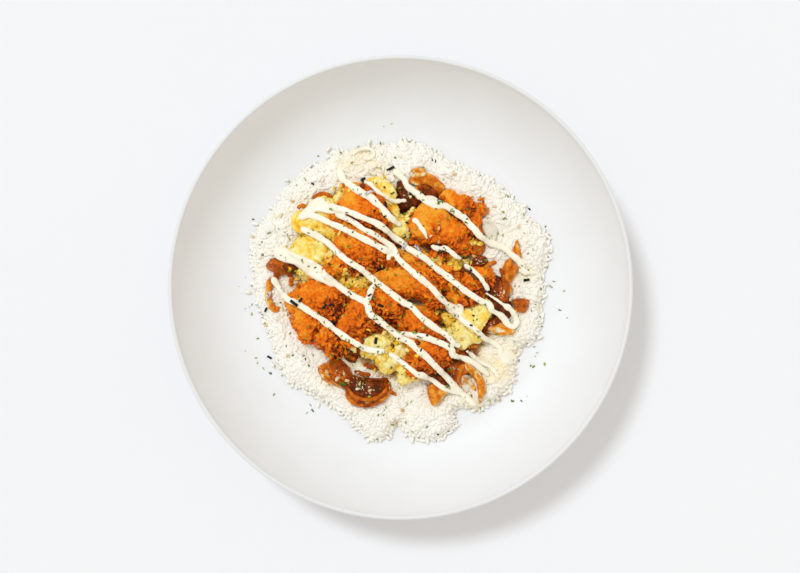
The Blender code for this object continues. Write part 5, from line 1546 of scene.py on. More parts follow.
def spindle(length, stations, sides):
    """A closed form along X: a point at each end, and rings of points at the stations between them."""
    points = [(-0.5 * length, 0.0, 0.0)]
    for place, half_width, half_height in stations:
        for k in range(sides):
            turn = math.tau * k / sides
            points.append((place * length, half_width * math.cos(turn), half_height * math.sin(turn)))
    points.append((0.5 * length, 0.0, 0.0))
    faces = []
    last = len(points) - 1
    end = 1 + sides * (len(stations) - 1)
    for k in range(sides):
        after = (k + 1) % sides
        faces.append((0, 1 + after, 1 + k))
        faces.append((last, end + k, end + after))
        for ring in range(len(stations) - 1):
            a = 1 + sides * ring
            faces.append((a + k, a + after, a + sides + after, a + sides + k))
    return np.array(points), faces


def grain_form():
    """A grain of rice of unit size, with two blunt ends."""
    girths = [0.5 * (1 - (abs(place) / 0.5) ** GRAIN_BLUNTNESS) ** 0.5 for place in GRAIN_STATIONS]
    stations = [(place, girth, girth) for place, girth in zip(GRAIN_STATIONS, girths)]
    return spindle(1.0, stations, GRAIN_SIDES)


def seed_form():
    """A sesame seed with a blunt end and a pointed one."""
    stations = [(place, girth * SEED_WIDTH / 2, SEED_HEIGHT_SHARE * girth * SEED_WIDTH / 2)
                for place, girth in SEED_STATIONS]
    return spindle(SEED_LENGTH, stations, SEED_SIDES)


def turned(points, yaw, pitch, roll=0.0):
    """Points turned about X, then Y, then Z."""
    cr, sr, cp, sp, cy, sy = (f(a) for a in (roll, pitch, yaw) for f in (math.cos, math.sin))
    rx = np.array([[1, 0, 0], [0, cr, -sr], [0, sr, cr]])
    ry = np.array([[cp, 0, sp], [0, 1, 0], [-sp, 0, cp]])
    rz = np.array([[cy, -sy, 0], [sy, cy, 0], [0, 0, 1]])
    return points @ (rz @ ry @ rx).T


def topping_depth(x, y, outlines):
    """How far inside the toppings each place is in plan, and below zero how far outside them."""
    spots = np.column_stack([x, y])
    inside = np.zeros(len(spots), dtype=bool)
    distance = np.full(len(spots), np.inf)
    for outline in outlines:
        inside |= inside_outline(x, y, outline)
        distance = np.minimum(distance, distance_to_outline(spots, outline))
    return np.where(inside, distance, -distance)


def patch_share(x, y, patches):
    """How deep the soft round patches on the rice are at each place."""
    share = 0.0
    for px, py, reach, depth in patches:
        middle = plan((px, py), RICE_SCALE)
        away = np.hypot(x - middle[0], y - middle[1]) / (reach * RICE_SCALE)
        share = share + depth * np.exp(-(away / PATCH_FALL) ** 2)
    return share


def sauce_and_shade_share(x, y):
    """How much sauce the rice has taken up at each place, with the painted shade under the heap of
    toppings.
    """
    outline = np.array([plan(point, RICE_SCALE) for point in SAUCED_AND_SHADED])
    depth = topping_depth(np.atleast_1d(x), np.atleast_1d(y), [outline])
    return patch_share(x, y, STAINS) + SAUCE_AND_SHADE_DEPTH * smoothstep(0.0, SAUCE_AND_SHADE_REACH, depth)


def cream_share(x, y):
    """How much mayonnaise has spread over the rice at each place."""
    return np.clip(patch_share(x, y, CREAMED), 0, 1)


def near_warmth(depth):
    """How much yellower the rice is beside the toppings, which offsets the red light that they throw."""
    return WARMTH * smoothstep(-WARMTH_REACH, 0.0, depth)


def rice_bed(spots, rim):
    """Height of the rice above the table, without its grains: it thins out towards its edge."""
    inside = smoothstep(0.0, RIM_REACH, distance_to_outline(spots, rim))
    thin = RIM_THINNEST + (1 - RIM_THINNEST) * inside
    return thin * rice_height(spots, rim) + bowl_surface(np.linalg.norm(spots, axis=1))


def swell(x, y):
    """How the bed of rice rises and sinks from clump to clump."""
    large, small = SWELL_SIZES
    return noise.noise(Vector((x, y, 0.3)) / large) + 0.5 * noise.noise(Vector((x, y, 0.7)) / small)


def add_rice_core(rim, outlines, material, surface):
    """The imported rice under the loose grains, with low relief."""
    ticks = np.arange(-MAP_HALF, MAP_HALF, CORE_STEP)
    x, y = (grid.ravel() for grid in np.meshgrid(ticks, ticks, indexing="ij"))
    rng = random.Random(CORE_SEED)
    x = x + np.array([rng.uniform(-CORE_JITTER, CORE_JITTER) for _ in x]) * CORE_STEP
    y = y + np.array([rng.uniform(-CORE_JITTER, CORE_JITTER) for _ in y]) * CORE_STEP
    edge = rim * (1 - CORE_INSET / np.linalg.norm(rim, axis=1))[:, None]
    spots = np.column_stack([x, y])
    spots = spots[inside_outline(x, y, edge) & (distance_to_outline(spots, edge) > CORE_CLEAR * CORE_STEP)]
    flat, top_faces = flat_triangles(edge, spots)
    top = np.column_stack([flat, rice_bed(flat, rim) + CORE_RAISE])
    shoulder = np.clip(distance_to_outline(flat, rim) / RIM_REACH, 0, 1)
    top[:, 2] += CORE_RELIEF * (0.5 - cells_at(top, CORE_RELIEF_SIZE, 2)[0]) * shoulder
    open_share = smoothstep(0.0, MOUNDS_REACH, -topping_depth(flat[:, 0], flat[:, 1], outlines)) * shoulder
    top[:, 2] += RICE_MOUNDS * open_share * np.array([swell(*spot) for spot in flat])
    floor = bowl_surface(np.linalg.norm(flat, axis=1)) + GAP
    top[:, 2] = np.maximum(top[:, 2], floor + CORE_LEAST * np.minimum(shoulder * 4, 1))
    surface.add(top)

    count = len(top)
    points = np.vstack([top, np.column_stack([flat, floor])])
    faces = [tuple(face) for face in top_faces]
    faces += [tuple(count + index for index in reversed(face)) for face in top_faces]
    for index in range(len(rim)):
        after = (index + 1) % len(rim)
        faces.append((index, count + index, count + after, after))
    x, y = points[:, 0], points[:, 1]
    depth = topping_depth(x, y, outlines)
    # The stain value darkens the rice under the toppings: partly sauce, partly painted shade in the gaps
    # between them.
    values = {"tone": np.full(len(points), 0.5),
              "stain_and_shade": smoothstep(-0.001, SAUCE_AND_SHADE_REACH, depth) + sauce_and_shade_share(x, y),
              "cream_and_warmth": cream_share(x, y) + near_warmth(depth)}
    new_piece("rice_core", points, faces, material, ["rice"], values)


def grain_spots(grid, rim_depth, topping):
    """Places of the loose grains, layer by layer, each with its lift above the bed and its tilt."""

    def shows(spot, within, cover):
        cell = grid.cells(*spot)
        return rim_depth[cell] > within and topping[cell] < cover

    def ragged(spot):
        return RICE_SPILL + RAGGED_DEPTH * noise.noise(Vector((*spot, 0)) / RAGGED_SIZE)

    allowed = {
        "packed": lambda spot: shows(spot, -ragged(spot), 0.0035),
        "loose": lambda spot: shows(spot, 0.001, 0.002),
        "heaped": lambda spot: shows(spot, 0.003, 0.0) and swell(*spot) > 0.0,
        "stray": lambda spot: -STRAY_REACH < rim_depth[grid.cells(*spot)] < 0.0,
    }
    spots = []
    for layer, (spacing, seed, lifts, tilt) in GRAIN_LAYERS.items():
        rng = random.Random(seed)
        found = scatter(rng, spacing, allowed[layer])
        spots += [(spot, rng.uniform(*lifts), tilt) for spot in found]
    return spots


def add_grains(rim, outlines, material, surface):
    """Loose grains of cooked rice wherever the rice shows, in layers and clumps."""
    grid = PlanGrid(MAP_HALF, CELL)
    x, y = grid.x.ravel(), grid.y.ravel()
    topping = topping_depth(x, y, outlines).reshape(grid.x.shape)
    rim_depth = distance_to_outline(np.column_stack([x, y]), rim).reshape(grid.x.shape)
    rim_depth[~inside_outline(grid.x, grid.y, rim)] *= -1

    rng = random.Random(GRAIN_SEED)
    form, form_faces = grain_form()
    parts = []
    values = {"tone": [], "stain_and_shade": [], "cream_and_warmth": []}
    for spot, lift, tilt in grain_spots(grid, rim_depth, topping):
        inside, depth = rim_depth[grid.cells(*spot)], topping[grid.cells(*spot)]
        sauce = float(sauce_and_shade_share(*spot)[0])
        if sauce > GRAINS_IN_SAUCE[0] and rng.random() < GRAINS_IN_SAUCE[1]:
            continue
        length = GRAIN_LENGTH * rng.uniform(0.82, 1.12)
        width = GRAIN_WIDTH * rng.uniform(0.85, 1.12)
        yaw = rng.uniform(0, math.pi)
        pitch = math.radians(rng.uniform(-tilt, tilt))
        rest = bowl_surface(math.hypot(*spot)) + width / 2
        if inside > 0:
            open_share = smoothstep(0.0, MOUNDS_REACH, -depth) * min(inside / RIM_REACH, 1.0)
            bed = float(rice_bed(np.array([spot]), rim)[0])
            level = max(bed + lift + RICE_MOUNDS * swell(*spot) * open_share, rest)
        else:
            level = rest + STRAY_LIFT
            pitch *= 0.2
        body = turned(form * (length, width, width), yaw, pitch, rng.uniform(0, math.tau))
        bend = rng.uniform(-1, 1) * GRAIN_BEND
        body[:, 2] += bend * ((form[:, 0] * length) ** 2) * 0.5
        body += (spot[0], spot[1], level)
        floor = bowl_surface(np.hypot(body[:, 0], body[:, 1])) + GRAIN_CLEARANCE
        body[:, 2] = np.maximum(body[:, 2], floor)
        parts.append((body, form_faces))

        tone = rng.random()
        # Darker under the toppings: partly sauce, partly painted shade in the gaps between them.
        stain_and_shade = float(smoothstep(-0.0015, SAUCE_AND_SHADE_REACH, depth)) * rng.uniform(0.4, 1.0)
        stain_and_shade += sauce * rng.uniform(0.6, 1.2)
        cream_and_warmth = float(cream_share(*spot)) * rng.uniform(0.5, 1.2) + float(near_warmth(depth))
        if rng.random() < 0.02:
            stain_and_shade = max(stain_and_shade, rng.uniform(0.08, 0.24))
        for key, value in (("tone", tone), ("stain_and_shade", stain_and_shade), ("cream_and_warmth", cream_and_warmth)):
            values[key].append(np.full(len(body), value))
    points, faces = joined(parts)
    surface.add(points)
    values = {key: np.concatenate(numbers) for key, numbers in values.items()}
    new_piece("rice_grains", points, faces, material, ["rice"], values)


def add_rice(outlines, surface):
    """The bed of rice: its wavering edge, its core and its grains."""
    rim = even(spline([plan(point, RICE_SCALE) for point in RICE_OUTLINE], True), RIM_POINTS, True)
    sway = np.array([noise.noise(Vector((*point, 0.0)) / RIM_SWAY_SIZE) for point in rim])
    rim = rim * (1 + RIM_SWAY * sway)[:, None]
    rice = rice_material()
    add_rice_core(rim, outlines, rice, surface)
    add_grains(rim, outlines, rice, surface)


def scorched_share(place):
    """How deep the browner patches of the crust are at each place."""
    share = np.zeros(len(place))
    for px, py, reach, depth in SCORCHED:
        spot = plan((px, py))
        away = np.hypot(place[:, 0] - spot[0], place[:, 1] - spot[1]) / (reach * PLAN_SCALE)
        share += depth * np.exp(-away ** 2)
    return share


def add_chicken(name, points, faces, rim, material, surface):
    """A fried chunk: lumps and creases of crust, finer towards its lower right and browner there with
    painted shade.
    """
    size, depth = CRUST_SIZES, CRUST_DEPTHS
    mesh = voxel_skin(points, faces, CRUST_VOXEL)
    relax(mesh, 2)
    place = places(mesh)
    outward = normals(mesh)
    seed = seed_of(name) % 97
    rough, tone = CHICKEN_LOOK.get(name, (0.5, 0.0))
    middle = rim.mean(axis=0)
    half = np.ptp(rim, axis=0).max() / 2
    # This slope towards the lower right makes the crust craggier there and, in the colour below, browner as
    # painted shade.
    shade = ((place[:, 0] - middle[0]) * 0.6 - (place[:, 1] - middle[1]) * 0.8) / half
    edge = np.exp(-distance_to_outline(place[:, :2], rim) / CRUST_EDGE)
    scorch = scorched_share(place)
    crag = rough + 0.5 * scorch + 0.50 * shade + 0.30 * edge + 0.5 * noise_at(place, size["patch"], seed)
    crag = np.clip(crag, 0.10, 1.15)

    big = noise_at(place, size["big"], seed)
    bent = warped(place, size["warp"], depth["warp"], seed)
    fold = ridges_at(bent, size["fold"], seed + 5)
    flake = ridges_at(bent, size["flake"], seed + 9)
    grit = ridges_at(place, size["grit"], seed + 12)
    first, second = cells_at(bent, size["lump"], seed)
    lump = np.minimum((second - first) / 0.4, 1.0)
    blister = noise_at(place, size["blister"], seed + 21)
    skin = depth["fold"] * fold + depth["flake"] * flake + depth["blister"] * blister
    height = depth["big"] * big + (0.42 + 0.58 * crag) * skin
    height += crag * depth["lump"] * (lump - 0.8) + (0.3 + 0.7 * crag) * depth["grit"] * grit
    place += outward * height[:, None]
    move_to(mesh, place)

    # The colour is browner in the hollows and lighter on lumps and ridges: partly the crust's own colour,
    # partly painted shade and painted highlight.
    brown = 0.24 + tone + 0.13 * shade + 0.26 * (crag - 0.5) - 0.12 * big
    brown += crag * (0.36 * (1 - lump) - 0.09 * fold - 0.17 * flake - 0.13 * grit - 0.22 * blister)
    brown += 0.16 * noise_at(place, size["blotch"], seed + 11) + scorch * (0.6 + 0.8 * (1 - lump))
    surface.add(place)
    add_piece(name + "_crust", mesh, material, [name], {"brown": brown})


def add_egg(name, points, faces, material, surface):
    """A curd of scrambled egg: soft lumps that fold into each other."""
    size, depth = CURD_SIZES, CURD_DEPTHS
    mesh = voxel_skin(points, faces, EGG_VOXEL)
    relax(mesh, 2)
    place = places(mesh)
    outward = normals(mesh)
    seed = seed_of(name) % 89
    bent = warped(place, size["warp"], depth["warp"], seed)
    first, _ = cells_at(bent, size["lump"], seed)
    lump = 1 - np.clip(first / 0.75, 0, 1) ** 2
    curd = 1 - np.clip(ridges_at(bent, size["curd"], seed + 3) + 1, 0, 2) / 2
    small = 1 - np.clip(ridges_at(bent, size["small"], seed + 6) + 1, 0, 2) / 2
    wave = noise_at(place, size["wave"], seed + 9)
    height = depth["lump"] * (lump - 0.55) + depth["curd"] * (curd - 0.6)
    height += depth["small"] * (small - 0.6)
    height += depth["wave"] * wave
    place += outward * height[:, None]
    move_to(mesh, place)
    # Paler on the tops of the curds and deeper yellow in the creases between them: partly the egg's colour,
    # partly painted shade.
    yolk = EGG_YOLK.get(name, 0.78) - 0.28 * lump - 0.34 * curd - 0.16 * small
    # The last term makes the steep sides of the curds more orange: painted shade.
    yolk += 0.30 * noise_at(place, size["yolk"], seed + 4) + 0.16 * (1 - np.clip(outward[:, 2], 0, 1))
    surface.add(place)
    add_piece(name + "_curd", mesh, material, [name], {"brown": yolk})


def add_onion(name, points, faces, spine, material, surface, chunk):
    """A glossy piece of onion with its long soft veins, and hollow on top if it is a chunk."""
    size = ONION_SIZES
    mesh = voxel_skin(points, faces, ONION_VOXEL)
    relax(mesh, 3)
    place = places(mesh)
    outward = normals(mesh)
    seed = seed_of(name) % 83
    spread = spine - spine.mean(axis=0)
    along = np.linalg.svd(spread[:, :2], full_matrices=False)[2][0]
    across = place[:, 0] * -along[1] + place[:, 1] * along[0]
    vein = np.sin(across / VEIN_PITCH + 2.0 * noise_at(place, size["bend"], seed))
    relief = VEIN_DEPTH * vein + SWELL_DEPTH * noise_at(place, size["swell"], seed)
    place += outward * ((1.0 if chunk else 0.6) * relief)[:, None]
    dark = ONION_DARKNESS.get(name, 0.35)
    strength = np.clip(dark * 3, 0.2, 1.0)
    side = (across - across.mean()) / (np.ptp(across) / 2) * (1 if seed % 2 else -1)
    brown = 0.22 * noise_at(place, size["blotch"], seed + 2) - 0.10 * vein * (1 - dark) + 0.16 * side
    brown = dark + strength * brown
    if chunk:
        near = distance_to_outline(place[:, :2], spine[:, :2])
        place[:, 2] -= LEAF_HOLLOW * smoothstep(*HOLLOW_REACH, near) * np.clip(outward[:, 2], 0, 1)
        brown -= strength * 0.14 * np.exp(-near / LEAF_EDGE)
    move_to(mesh, place)
    surface.add(place)
    add_piece(name + "_braised", mesh, material, [name], {"brown": brown})


def leaf_form(number, dark, thickness, outline, surface):
    """Points, faces and darkness of one thin leaf: torn at its edge, wavy and veined."""
    size = SHEET_SIZES
    rim = even(spline(surface.seen_outline(outline), True), SHEET_AROUND, True)
    centre = rim.mean(axis=0)
    torn = noise_at(np.column_stack([rim, np.zeros(SHEET_AROUND)]), size["torn"], number)
    rim = centre + (rim - centre) * (1 + SHEET_TORN * torn)[:, None]
    flat, share = disc_spots(centre, rim, SHEET_SHARES)
    level = surface.eased(flat[:, 0], flat[:, 1], SHEET_REACH)
    along = np.linalg.svd(rim - centre, full_matrices=False)[2][0]
    across = flat[:, 0] * -along[1] + flat[:, 1] * along[0]
    place = np.column_stack([flat, np.full(len(flat), number * 0.01)])
    vein = np.sin(across / SHEET_VEIN_PITCH + 3.0 * noise_at(place, size["bend"], number))
    body = np.sqrt(1 - 0.96 * share ** 4)
    crease = SHEET_DEEP_CREASE if dark > SAUCY else SHEET_CREASE
    wave = SHEET_FOLD * noise_at(place, size["fold"], number + 3)
    wave += crease * noise_at(place, size["crease"], number + 4)
    top = level + thickness * body + wave * (1 - share ** 4) + SHEET_VEIN * vein * body
    points, faces = disc_plate(flat, top, level - SHEET_BELOW * body, SHEET_SHARES, SHEET_AROUND)
    tone = dark + 0.16 * noise_at(place, size["blotch"], number + 6) - 0.07 * vein - 0.10 * share ** 6
    tone -= 0.30 * np.clip(noise_at(place, size["patch"], number + 8), 0, 1) * (dark > SAUCY)
    return points, faces, np.concatenate([tone, tone])


def add_onion_sheets(material, surface):
    """Thin leaves of onion and sauce, draped on what lies below."""
    rng = random.Random(SHEET_SEED)
    parts, tones = [], []
    for number, (dark, thickness, outline) in enumerate(ONION_SHEETS):
        points, faces, tone = leaf_form(number, dark, thickness, outline, surface)
        parts.append((points, faces))
        tones.append(tone + rng.uniform(-0.03, 0.03))
        surface.add(points[:len(points) // 2])
    joined_piece("onion_leaves", parts, material, "brown", tones)


def add_onion_bits(material, surface):
    """Short soft shreds of onion on and beside the heap."""
    parts, tones = [], []
    for width, dark, route in ONION_BITS:
        curve = even(spline(surface.seen_outline(route), False), BIT_POINTS, False)
        level = surface.at(curve[:, 0], curve[:, 1])
        ends = rounded_ends(np.linspace(0, 1, BIT_POINTS), 0.2)
        path = np.column_stack([curve, level + BIT_LIFT])
        points, faces = tube(path, width * PLAN_SCALE / 2 * ends, BIT_HALF_HEIGHT * ends)
        parts.append((points, faces))
        tones.append(dark + 0.2 * noise_at(points, 0.005, 3))
        surface.add(points)
    joined_piece("onion_bits", parts, material, "brown", tones)


def poured_tube(width, route, surface, seed):
    """A stream of mayonnaise that lies on the food and bridges its small gaps."""
    flat = surface.seen_outline(spline(route, False))
    length = np.linalg.norm(np.diff(flat, axis=0), axis=1).sum()
    count = max(5, int(length / POUR_STEP) + 1)
    path = even(flat, count, False)
    steps = (-POUR_REACH, 0, POUR_REACH)
    level = np.max([surface.at(path[:, 0] + dx, path[:, 1] + dy) for dx in steps for dy in steps], axis=0)
    eased = level.copy()
    for _ in range(POUR_EASE):
        eased = np.convolve(np.pad(eased, 2, mode="edge"), np.ones(5) / 5, mode="valid")
    level = np.maximum(eased, 0.45 * level + 0.55 * eased)
    lengths = np.linspace(0, length, count)
    waver = np.array([noise.noise(Vector((t / WAVER_SIZE, seed * 3.7, 0.0))) for t in lengths])
    pulse = np.array([noise.noise(Vector((t / PULSE_SIZE, seed * 1.9, 5.0))) for t in lengths])
    ends = rounded_ends(lengths, 0.8 * width * PLAN_SCALE)
    loose = LOOSENESS if width < LOOSE_WIDTH else 1.0
    half = width * PLAN_SCALE / 2 * (1 + loose * (WAVER_SHARE * waver + PULSE_SHARE * pulse)) * ends
    rise = POUR_FLATNESS * half
    return tube(np.column_stack([path, level + POUR_RISE * rise]), half, rise)


def pad_form(outline, thickness, surface):
    """A thin pad of mayonnaise that follows what it lies on."""
    rim = even(spline(surface.seen_outline(outline), True), PAD_AROUND, True)
    flat, share = disc_spots(rim.mean(axis=0), rim, PAD_SHARES)
    x, y = flat[:, 0], flat[:, 1]
    level = np.max([surface.eased(x, y, reach) for reach in PAD_REACHES], axis=0)
    low = np.minimum(level - PAD_BELOW[0], surface.at(x, y) - PAD_BELOW[1])
    return disc_plate(flat, level + thickness * np.sqrt(1 - share ** 2.5), low, PAD_SHARES, PAD_AROUND)


def add_mayo(material, surface):
    """The drizzle: pads and streams merged into one smooth skin."""
    parts = [pad_form(outline, thickness, surface) for thickness, outline in PADS]
    parts += [poured_tube(width, route, surface, index) for index, (width, route) in enumerate(POURED)]
    points, faces = joined(parts)
    mesh = voxel_skin(points, faces, MAYO_VOXEL)
    relax(mesh, 3)
    place = places(mesh)
    place += normals(mesh) * (0.0001 * noise_at(place, 0.003, 4))[:, None]
    move_to(mesh, place)
    surface.add(place)
    add_piece("mayonnaise_drizzle", mesh, material)


def plate_form(length, width, thickness, bend, rng, ragged=0.0):
    """A thin bent plate: its outline, and both faces split alike."""
    top, low = [], []
    for station in PLATE_STATIONS:
        half = width / 2 * (1 - ragged * rng.random())
        shift = ragged * width * rng.uniform(-0.3, 0.3)
        rise = bend * length * (0.25 - station ** 2)
        for side in (-1, 1):
            top.append((station * length, side * half + shift, rise + thickness / 2))
            low.append((station * length, side * half + shift, rise - thickness / 2))
    points = np.array(top + low)
    faces = []
    for k in range(3):
        a = 2 * k
        faces += [(a, a + 2, a + 3, a + 1), (a + 8, a + 9, a + 11, a + 10),
                  (a, a + 8, a + 10, a + 2), (a + 1, a + 3, a + 11, a + 9)]
    faces += [(0, 1, 9, 8), (6, 14, 15, 7)]
    return points, faces


def laid(points, x, y, yaw, surface, lift, reach=LEAN_REACH, steepest=LEAN_MOST):
    """A small thing set on the surface and leaning with it."""
    slope_x, slope_y = (float(np.clip(value, -steepest, steepest)) for value in surface.slope(x, y, reach))
    body = turned(points, yaw, 0.0)
    body[:, 2] += slope_x * body[:, 0] + slope_y * body[:, 1]
    return body + (x, y, float(surface.at(x, y)) + lift)


def herb_flake(rng, x, y, surface, least, bend=None):
    """A flake of dried herb at a place, with a bend drawn for it where none is given."""
    length = rng.uniform(least, HERB_LENGTHS[1])
    width = length * rng.uniform(0.35, 0.8)
    if bend is None:
        bend = rng.uniform(-0.3, 0.5)
    form, faces = plate_form(length, width, HERB_THICKNESS, bend, rng, 0.6)
    return laid(form, x, y, rng.uniform(0, math.tau), surface, HERB_LIFT), faces


def add_herbs(rng, material, surface, crusts):
    """Herb flakes strewn over everything, fewer on the crust, and thick in a few places."""
    parts, tones = [], []
    centre = plan(SMALL_MIDDLE)
    for _ in range(HERB_COUNT):
        spread = rng.choice(HERB_SPREADS)
        x, y = centre[0] + rng.gauss(0, spread), centre[1] + rng.gauss(0, spread * 0.95)
        if math.hypot(x, y) > HERB_RADIUS:
            continue
        on_crust = any(inside_outline(np.array([x]), np.array([y]), outline)[0] for outline in crusts)
        if on_crust and rng.random() < 0.35:
            continue
        parts.append(herb_flake(rng, x, y, surface, HERB_LENGTHS[0]))
        tones.append(np.full(len(parts[-1][0]), rng.random()))
    for px, py, reach, count in HERB_CLUMPS:
        for _ in range(count):
            x, y, _ = surface.seen_at((px + rng.gauss(0, reach), py + rng.gauss(0, reach)))
            parts.append(herb_flake(rng, x, y, surface, HERB_CLUMP_LEAST, 0.2))
            tones.append(np.full(len(parts[-1][0]), rng.uniform(0.0, 0.45)))
    joined_piece("herb_flakes", parts, material, "tone", tones)


def add_nori(rng, material, surface):
    """The strips of nori that the photograph shows, some of them with a painted silvery sheen, and small
    bits of it.
    """
    parts, tones = [], []
    centre = plan(SMALL_MIDDLE)
    for index, (px, py, turn, length, width) in enumerate(NORI_STRIPS):
        x, y, _ = surface.seen_at((px, py))
        form, faces = plate_form(length * PLAN_SCALE, width * PLAN_SCALE * 0.85, NORI_THICKNESS,
                                 rng.uniform(0.05, 0.25), rng, 0.12)
        parts.append((laid(form, x, y, math.radians(turn), surface, NORI_LIFT, *NORI_LEAN), faces))
        tones.append(np.full(len(form), 1.0 if index in PAINTED_SHEEN_STRIPS else 0.02))
    for _ in range(NORI_BITS):
        x, y = (rng.gauss(middle, spread) for middle, spread in zip(centre, NORI_SPREAD))
        if math.hypot(x, y) > NORI_RADIUS:
            continue
        form, faces = plate_form(rng.uniform(*NORI_BIT_LENGTHS), rng.uniform(*NORI_BIT_WIDTHS),
                                 NORI_BIT_THICKNESS, 0.1, rng, 0.3)
        parts.append((laid(form, x, y, rng.uniform(0, math.tau), surface, NORI_BIT_LIFT), faces))
        tones.append(np.zeros(len(form)))
    joined_piece("nori_strips", parts, material, "tone", tones)


def add_seeds(rng, material, surface):
    """Sesame seeds, each at its place in the photograph."""
    parts, tones = [], []
    form, faces = seed_form()
    for px, py, turn in SESAME_SEEDS:
        x, y, _ = surface.seen_at((px, py))
        body = form * rng.uniform(0.85, 1.1)
        parts.append((laid(body, x, y, math.radians(turn), surface, SEED_LIFT), faces))
        tones.append(np.full(len(form), rng.uniform(0.2, 1.0)))
    joined_piece("sesame_seeds", parts, material, "tone", tones)


def lump_form(rng, size, splits=2):
    """A small crumb: an uneven ball."""
    ball = bmesh.new()
    bmesh.ops.create_icosphere(ball, subdivisions=splits, radius=size / 2)
    points = np.array([tuple(vert.co) for vert in ball.verts])
    faces = [tuple(vert.index for vert in face.verts) for face in ball.faces]
    ball.free()
    shift = Vector((rng.uniform(0, 50), rng.uniform(0, 50), rng.uniform(0, 50)))
    grow = np.array([1 + 1.1 * noise.noise(Vector(point) / (0.5 * size) + shift) for point in points])
    points *= grow[:, None] * (1.0, rng.uniform(0.5, 0.95), rng.uniform(0.35, 0.65))
    return points, faces


def add_crumbs(name, kind, outlines, material, surface):
    """Broken bits beside and between the pieces that they came from."""
    seed, count, sizes, beyond, shades, gaps = kind
    rng = random.Random(seed)
    parts, tones = [], []
    for _ in range(count):
        outline = outlines[rng.randrange(len(outlines))]
        start = outline[rng.randrange(len(outline))]
        x, y = start[0] + rng.gauss(0, beyond), start[1] + rng.gauss(0, beyond)
        size = rng.uniform(*sizes)
        if rng.random() < 0.3:
            px, py, reach = gaps[rng.randrange(len(gaps))]
            x, y, _ = surface.seen_at((px + rng.gauss(0, reach), py + rng.gauss(0, reach * 0.5)))
            size = sizes[1] * rng.uniform(0.7, 1.3)
        form, faces = lump_form(rng, size)
        parts.append((laid(form, x, y, rng.uniform(0, math.tau), surface, size * 0.12), faces))
        tones.append(np.full(len(form), rng.uniform(*shades)))
    surface.add(joined_piece(name, parts, material, "brown", tones))


def add_specks_and_glints(material, surface):
    """Pale specks on the glossy onion: bits of rice, and painted glints of oil."""
    rng = random.Random(SPECK_SEED)
    parts, tones = [], []
    for px, py, reach in SPECKS_AND_GLINTS:
        for _ in range(SPECKS_EACH):
            x, y, _ = surface.seen_at((px + rng.gauss(0, reach * 0.6), py + rng.gauss(0, reach * 0.5)))
            size = rng.uniform(*SPECK_SIZES)
            form, faces = lump_form(rng, size, 1)
            parts.append((laid(form, x, y, rng.uniform(0, math.tau), surface, size * 0.15), faces))
            # Pale tone: partly rice, partly painted glints.
            tones.append(np.full(len(form), -0.1))
    joined_piece("specks_and_painted_glints", parts, material, "brown", tones)


def place_in_scene(name, data):
    """An object of the scene that isn't a piece of the part."""
    item = bpy.data.objects.new(name, data)
    bpy.context.scene.collection.objects.link(item)
    return item


def add_floor():
    floor = bpy.data.meshes.new("floor")
    half = FLOOR_HALF
    corners = [(-half, -half, 0), (half, -half, 0), (half, half, 0), (-half, half, 0)]
    floor.from_pydata(corners, [], [(0, 1, 2, 3)])
    floor.materials.append(floor_material())
    place_in_scene("floor", floor)


def add_key_light():
    """A broad sun from the upper left of the photograph."""
    key = bpy.data.lights.new("key", "SUN")
    key.energy = KEY_STRENGTH
    key.angle = KEY_ANGLE
    key.color = KEY_COLOUR
    flat = math.hypot(*KEY_FROM)
    direction = Vector((-KEY_FROM[0] / flat * math.cos(KEY_ELEVATION),
                        -KEY_FROM[1] / flat * math.cos(KEY_ELEVATION), -math.sin(KEY_ELEVATION)))
    place_in_scene("key", key).rotation_euler = direction.to_track_quat("-Z", "Y").to_euler()


def add_fill_light():
    """A pale world that is a little stronger near the horizon and leans to one side."""
    world = bpy.data.worlds.new("studio")
    world.use_nodes = True
    tree = world.node_tree
    back = tree.nodes["Background"]
    back.inputs["Color"].default_value = (*FILL_COLOUR, 1.0)
    direction = tree.nodes.new("ShaderNodeTexCoord").outputs["Generated"]
    lean = tree.nodes.new("ShaderNodeVectorMath")
    lean.operation = "DOT_PRODUCT"
    tree.links.new(direction, lean.inputs[0])
    lean.inputs[1].default_value = FILL_LEAN
    apart = tree.nodes.new("ShaderNodeSeparateXYZ")
    tree.links.new(direction, apart.inputs[0])
    low = tree.nodes.new("ShaderNodeMapRange")
    low.interpolation_type = "SMOOTHSTEP"
    tree.links.new(apart.outputs["Z"], low.inputs["Value"])
    for socket, value in (("From Min", FILL_LOW[0]), ("From Max", FILL_LOW[1]),
                          ("To Min", FILL_STRENGTH * FILL_LOW[2]), ("To Max", FILL_STRENGTH)):
        low.inputs[socket].default_value = value
    grow = tree.nodes.new("ShaderNodeMath")
    grow.operation = "MULTIPLY_ADD"
    tree.links.new(lean.outputs["Value"], grow.inputs[0])
    tree.links.new(low.outputs["Result"], grow.inputs[1])
    tree.links.new(low.outputs["Result"], grow.inputs[2])
    tree.links.new(grow.outputs[0], back.inputs["Strength"])
    bpy.context.scene.world = world


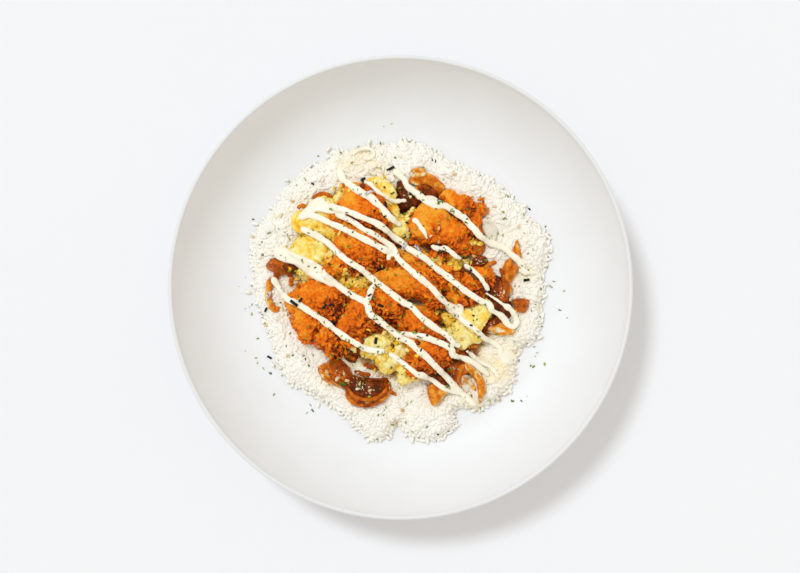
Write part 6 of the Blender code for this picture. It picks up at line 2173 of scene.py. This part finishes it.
def add_camera():
    """The camera straight above, and the plain view of its colours."""
    camera = bpy.data.cameras.new("camera")
    camera.lens = CAMERA_LENS
    camera.sensor_width = CAMERA_SENSOR
    camera.clip_end = 20.0
    item = place_in_scene("camera", camera)
    item.location = CAMERA_PLACE
    bpy.context.scene.camera = item
    view = bpy.context.scene.view_settings
    view.view_transform = "Standard"
    view.look = "None"
    view.exposure = EXPOSURE


def outlines_of(pieces):
    """The outlines of named pieces as metres in plan."""
    return [np.array([plan(point) for point in outline]) for outline in pieces.values()]


def stacked_on(bed):
    """A height map of the bowl with the solid bed of rice in it."""
    heights = HeightMap()
    points = places(bed)
    bed.calc_loop_triangles()
    for face in bed.loop_triangles:
        if face.normal.z > 0.05:
            heights.stamp_triangle(points[list(face.vertices)])
    return heights


def build():
    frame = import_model()
    add_floor()
    add_key_light()
    add_fill_light()
    add_camera()
    surface = SurfaceMap()
    add_bowl(glaze_material())
    egg_rims, crust_rims = outlines_of(EGG_CURDS), outlines_of(CHICKEN_PIECES)
    add_rice(outlines_of(ONION_CHUNKS) + egg_rims + crust_rims, surface)

    heights = stacked_on(frame["nodes"]["rice"].data)
    onion = onion_material()
    for name, outline in ONION_CHUNKS.items():
        points, faces, edge = chunk_form(heights, name, outline, ONION)
        add_onion(name, points, faces, edge, onion, surface, True)
    for name, (width, route) in ONION_STRIPS.items():
        points, faces, path = strip_form(heights, width, route)
        add_onion(name, points, faces, path, onion, surface, False)
    add_onion_sheets(onion, surface)
    egg = egg_material()
    for name, outline in EGG_CURDS.items():
        points, faces, edge = chunk_form(heights, name, under_strands(outline), EGG)
        add_egg(name, points, faces, egg, surface)
    crust = chicken_material()
    for name, outline in CHICKEN_PIECES.items():
        points, faces, edge = chunk_form(heights, name, under_strands(outline), CHICKEN)
        add_chicken(name, points, faces, edge, crust, surface)

    add_onion_bits(onion, surface)
    add_crumbs("egg_crumbs", EGG_CRUMBS, egg_rims, egg, surface)
    add_crumbs("crust_crumbs", CRUST_CRUMBS, crust_rims, crust, surface)
    add_specks_and_glints(onion, surface)
    add_mayo(mayo_material(), surface)
    rng = random.Random(SMALL_SEED)
    add_herbs(rng, herb_material(), surface, crust_rims)
    add_nori(rng, nori_material(), surface)
    add_seeds(rng, seed_material(), surface)


build()
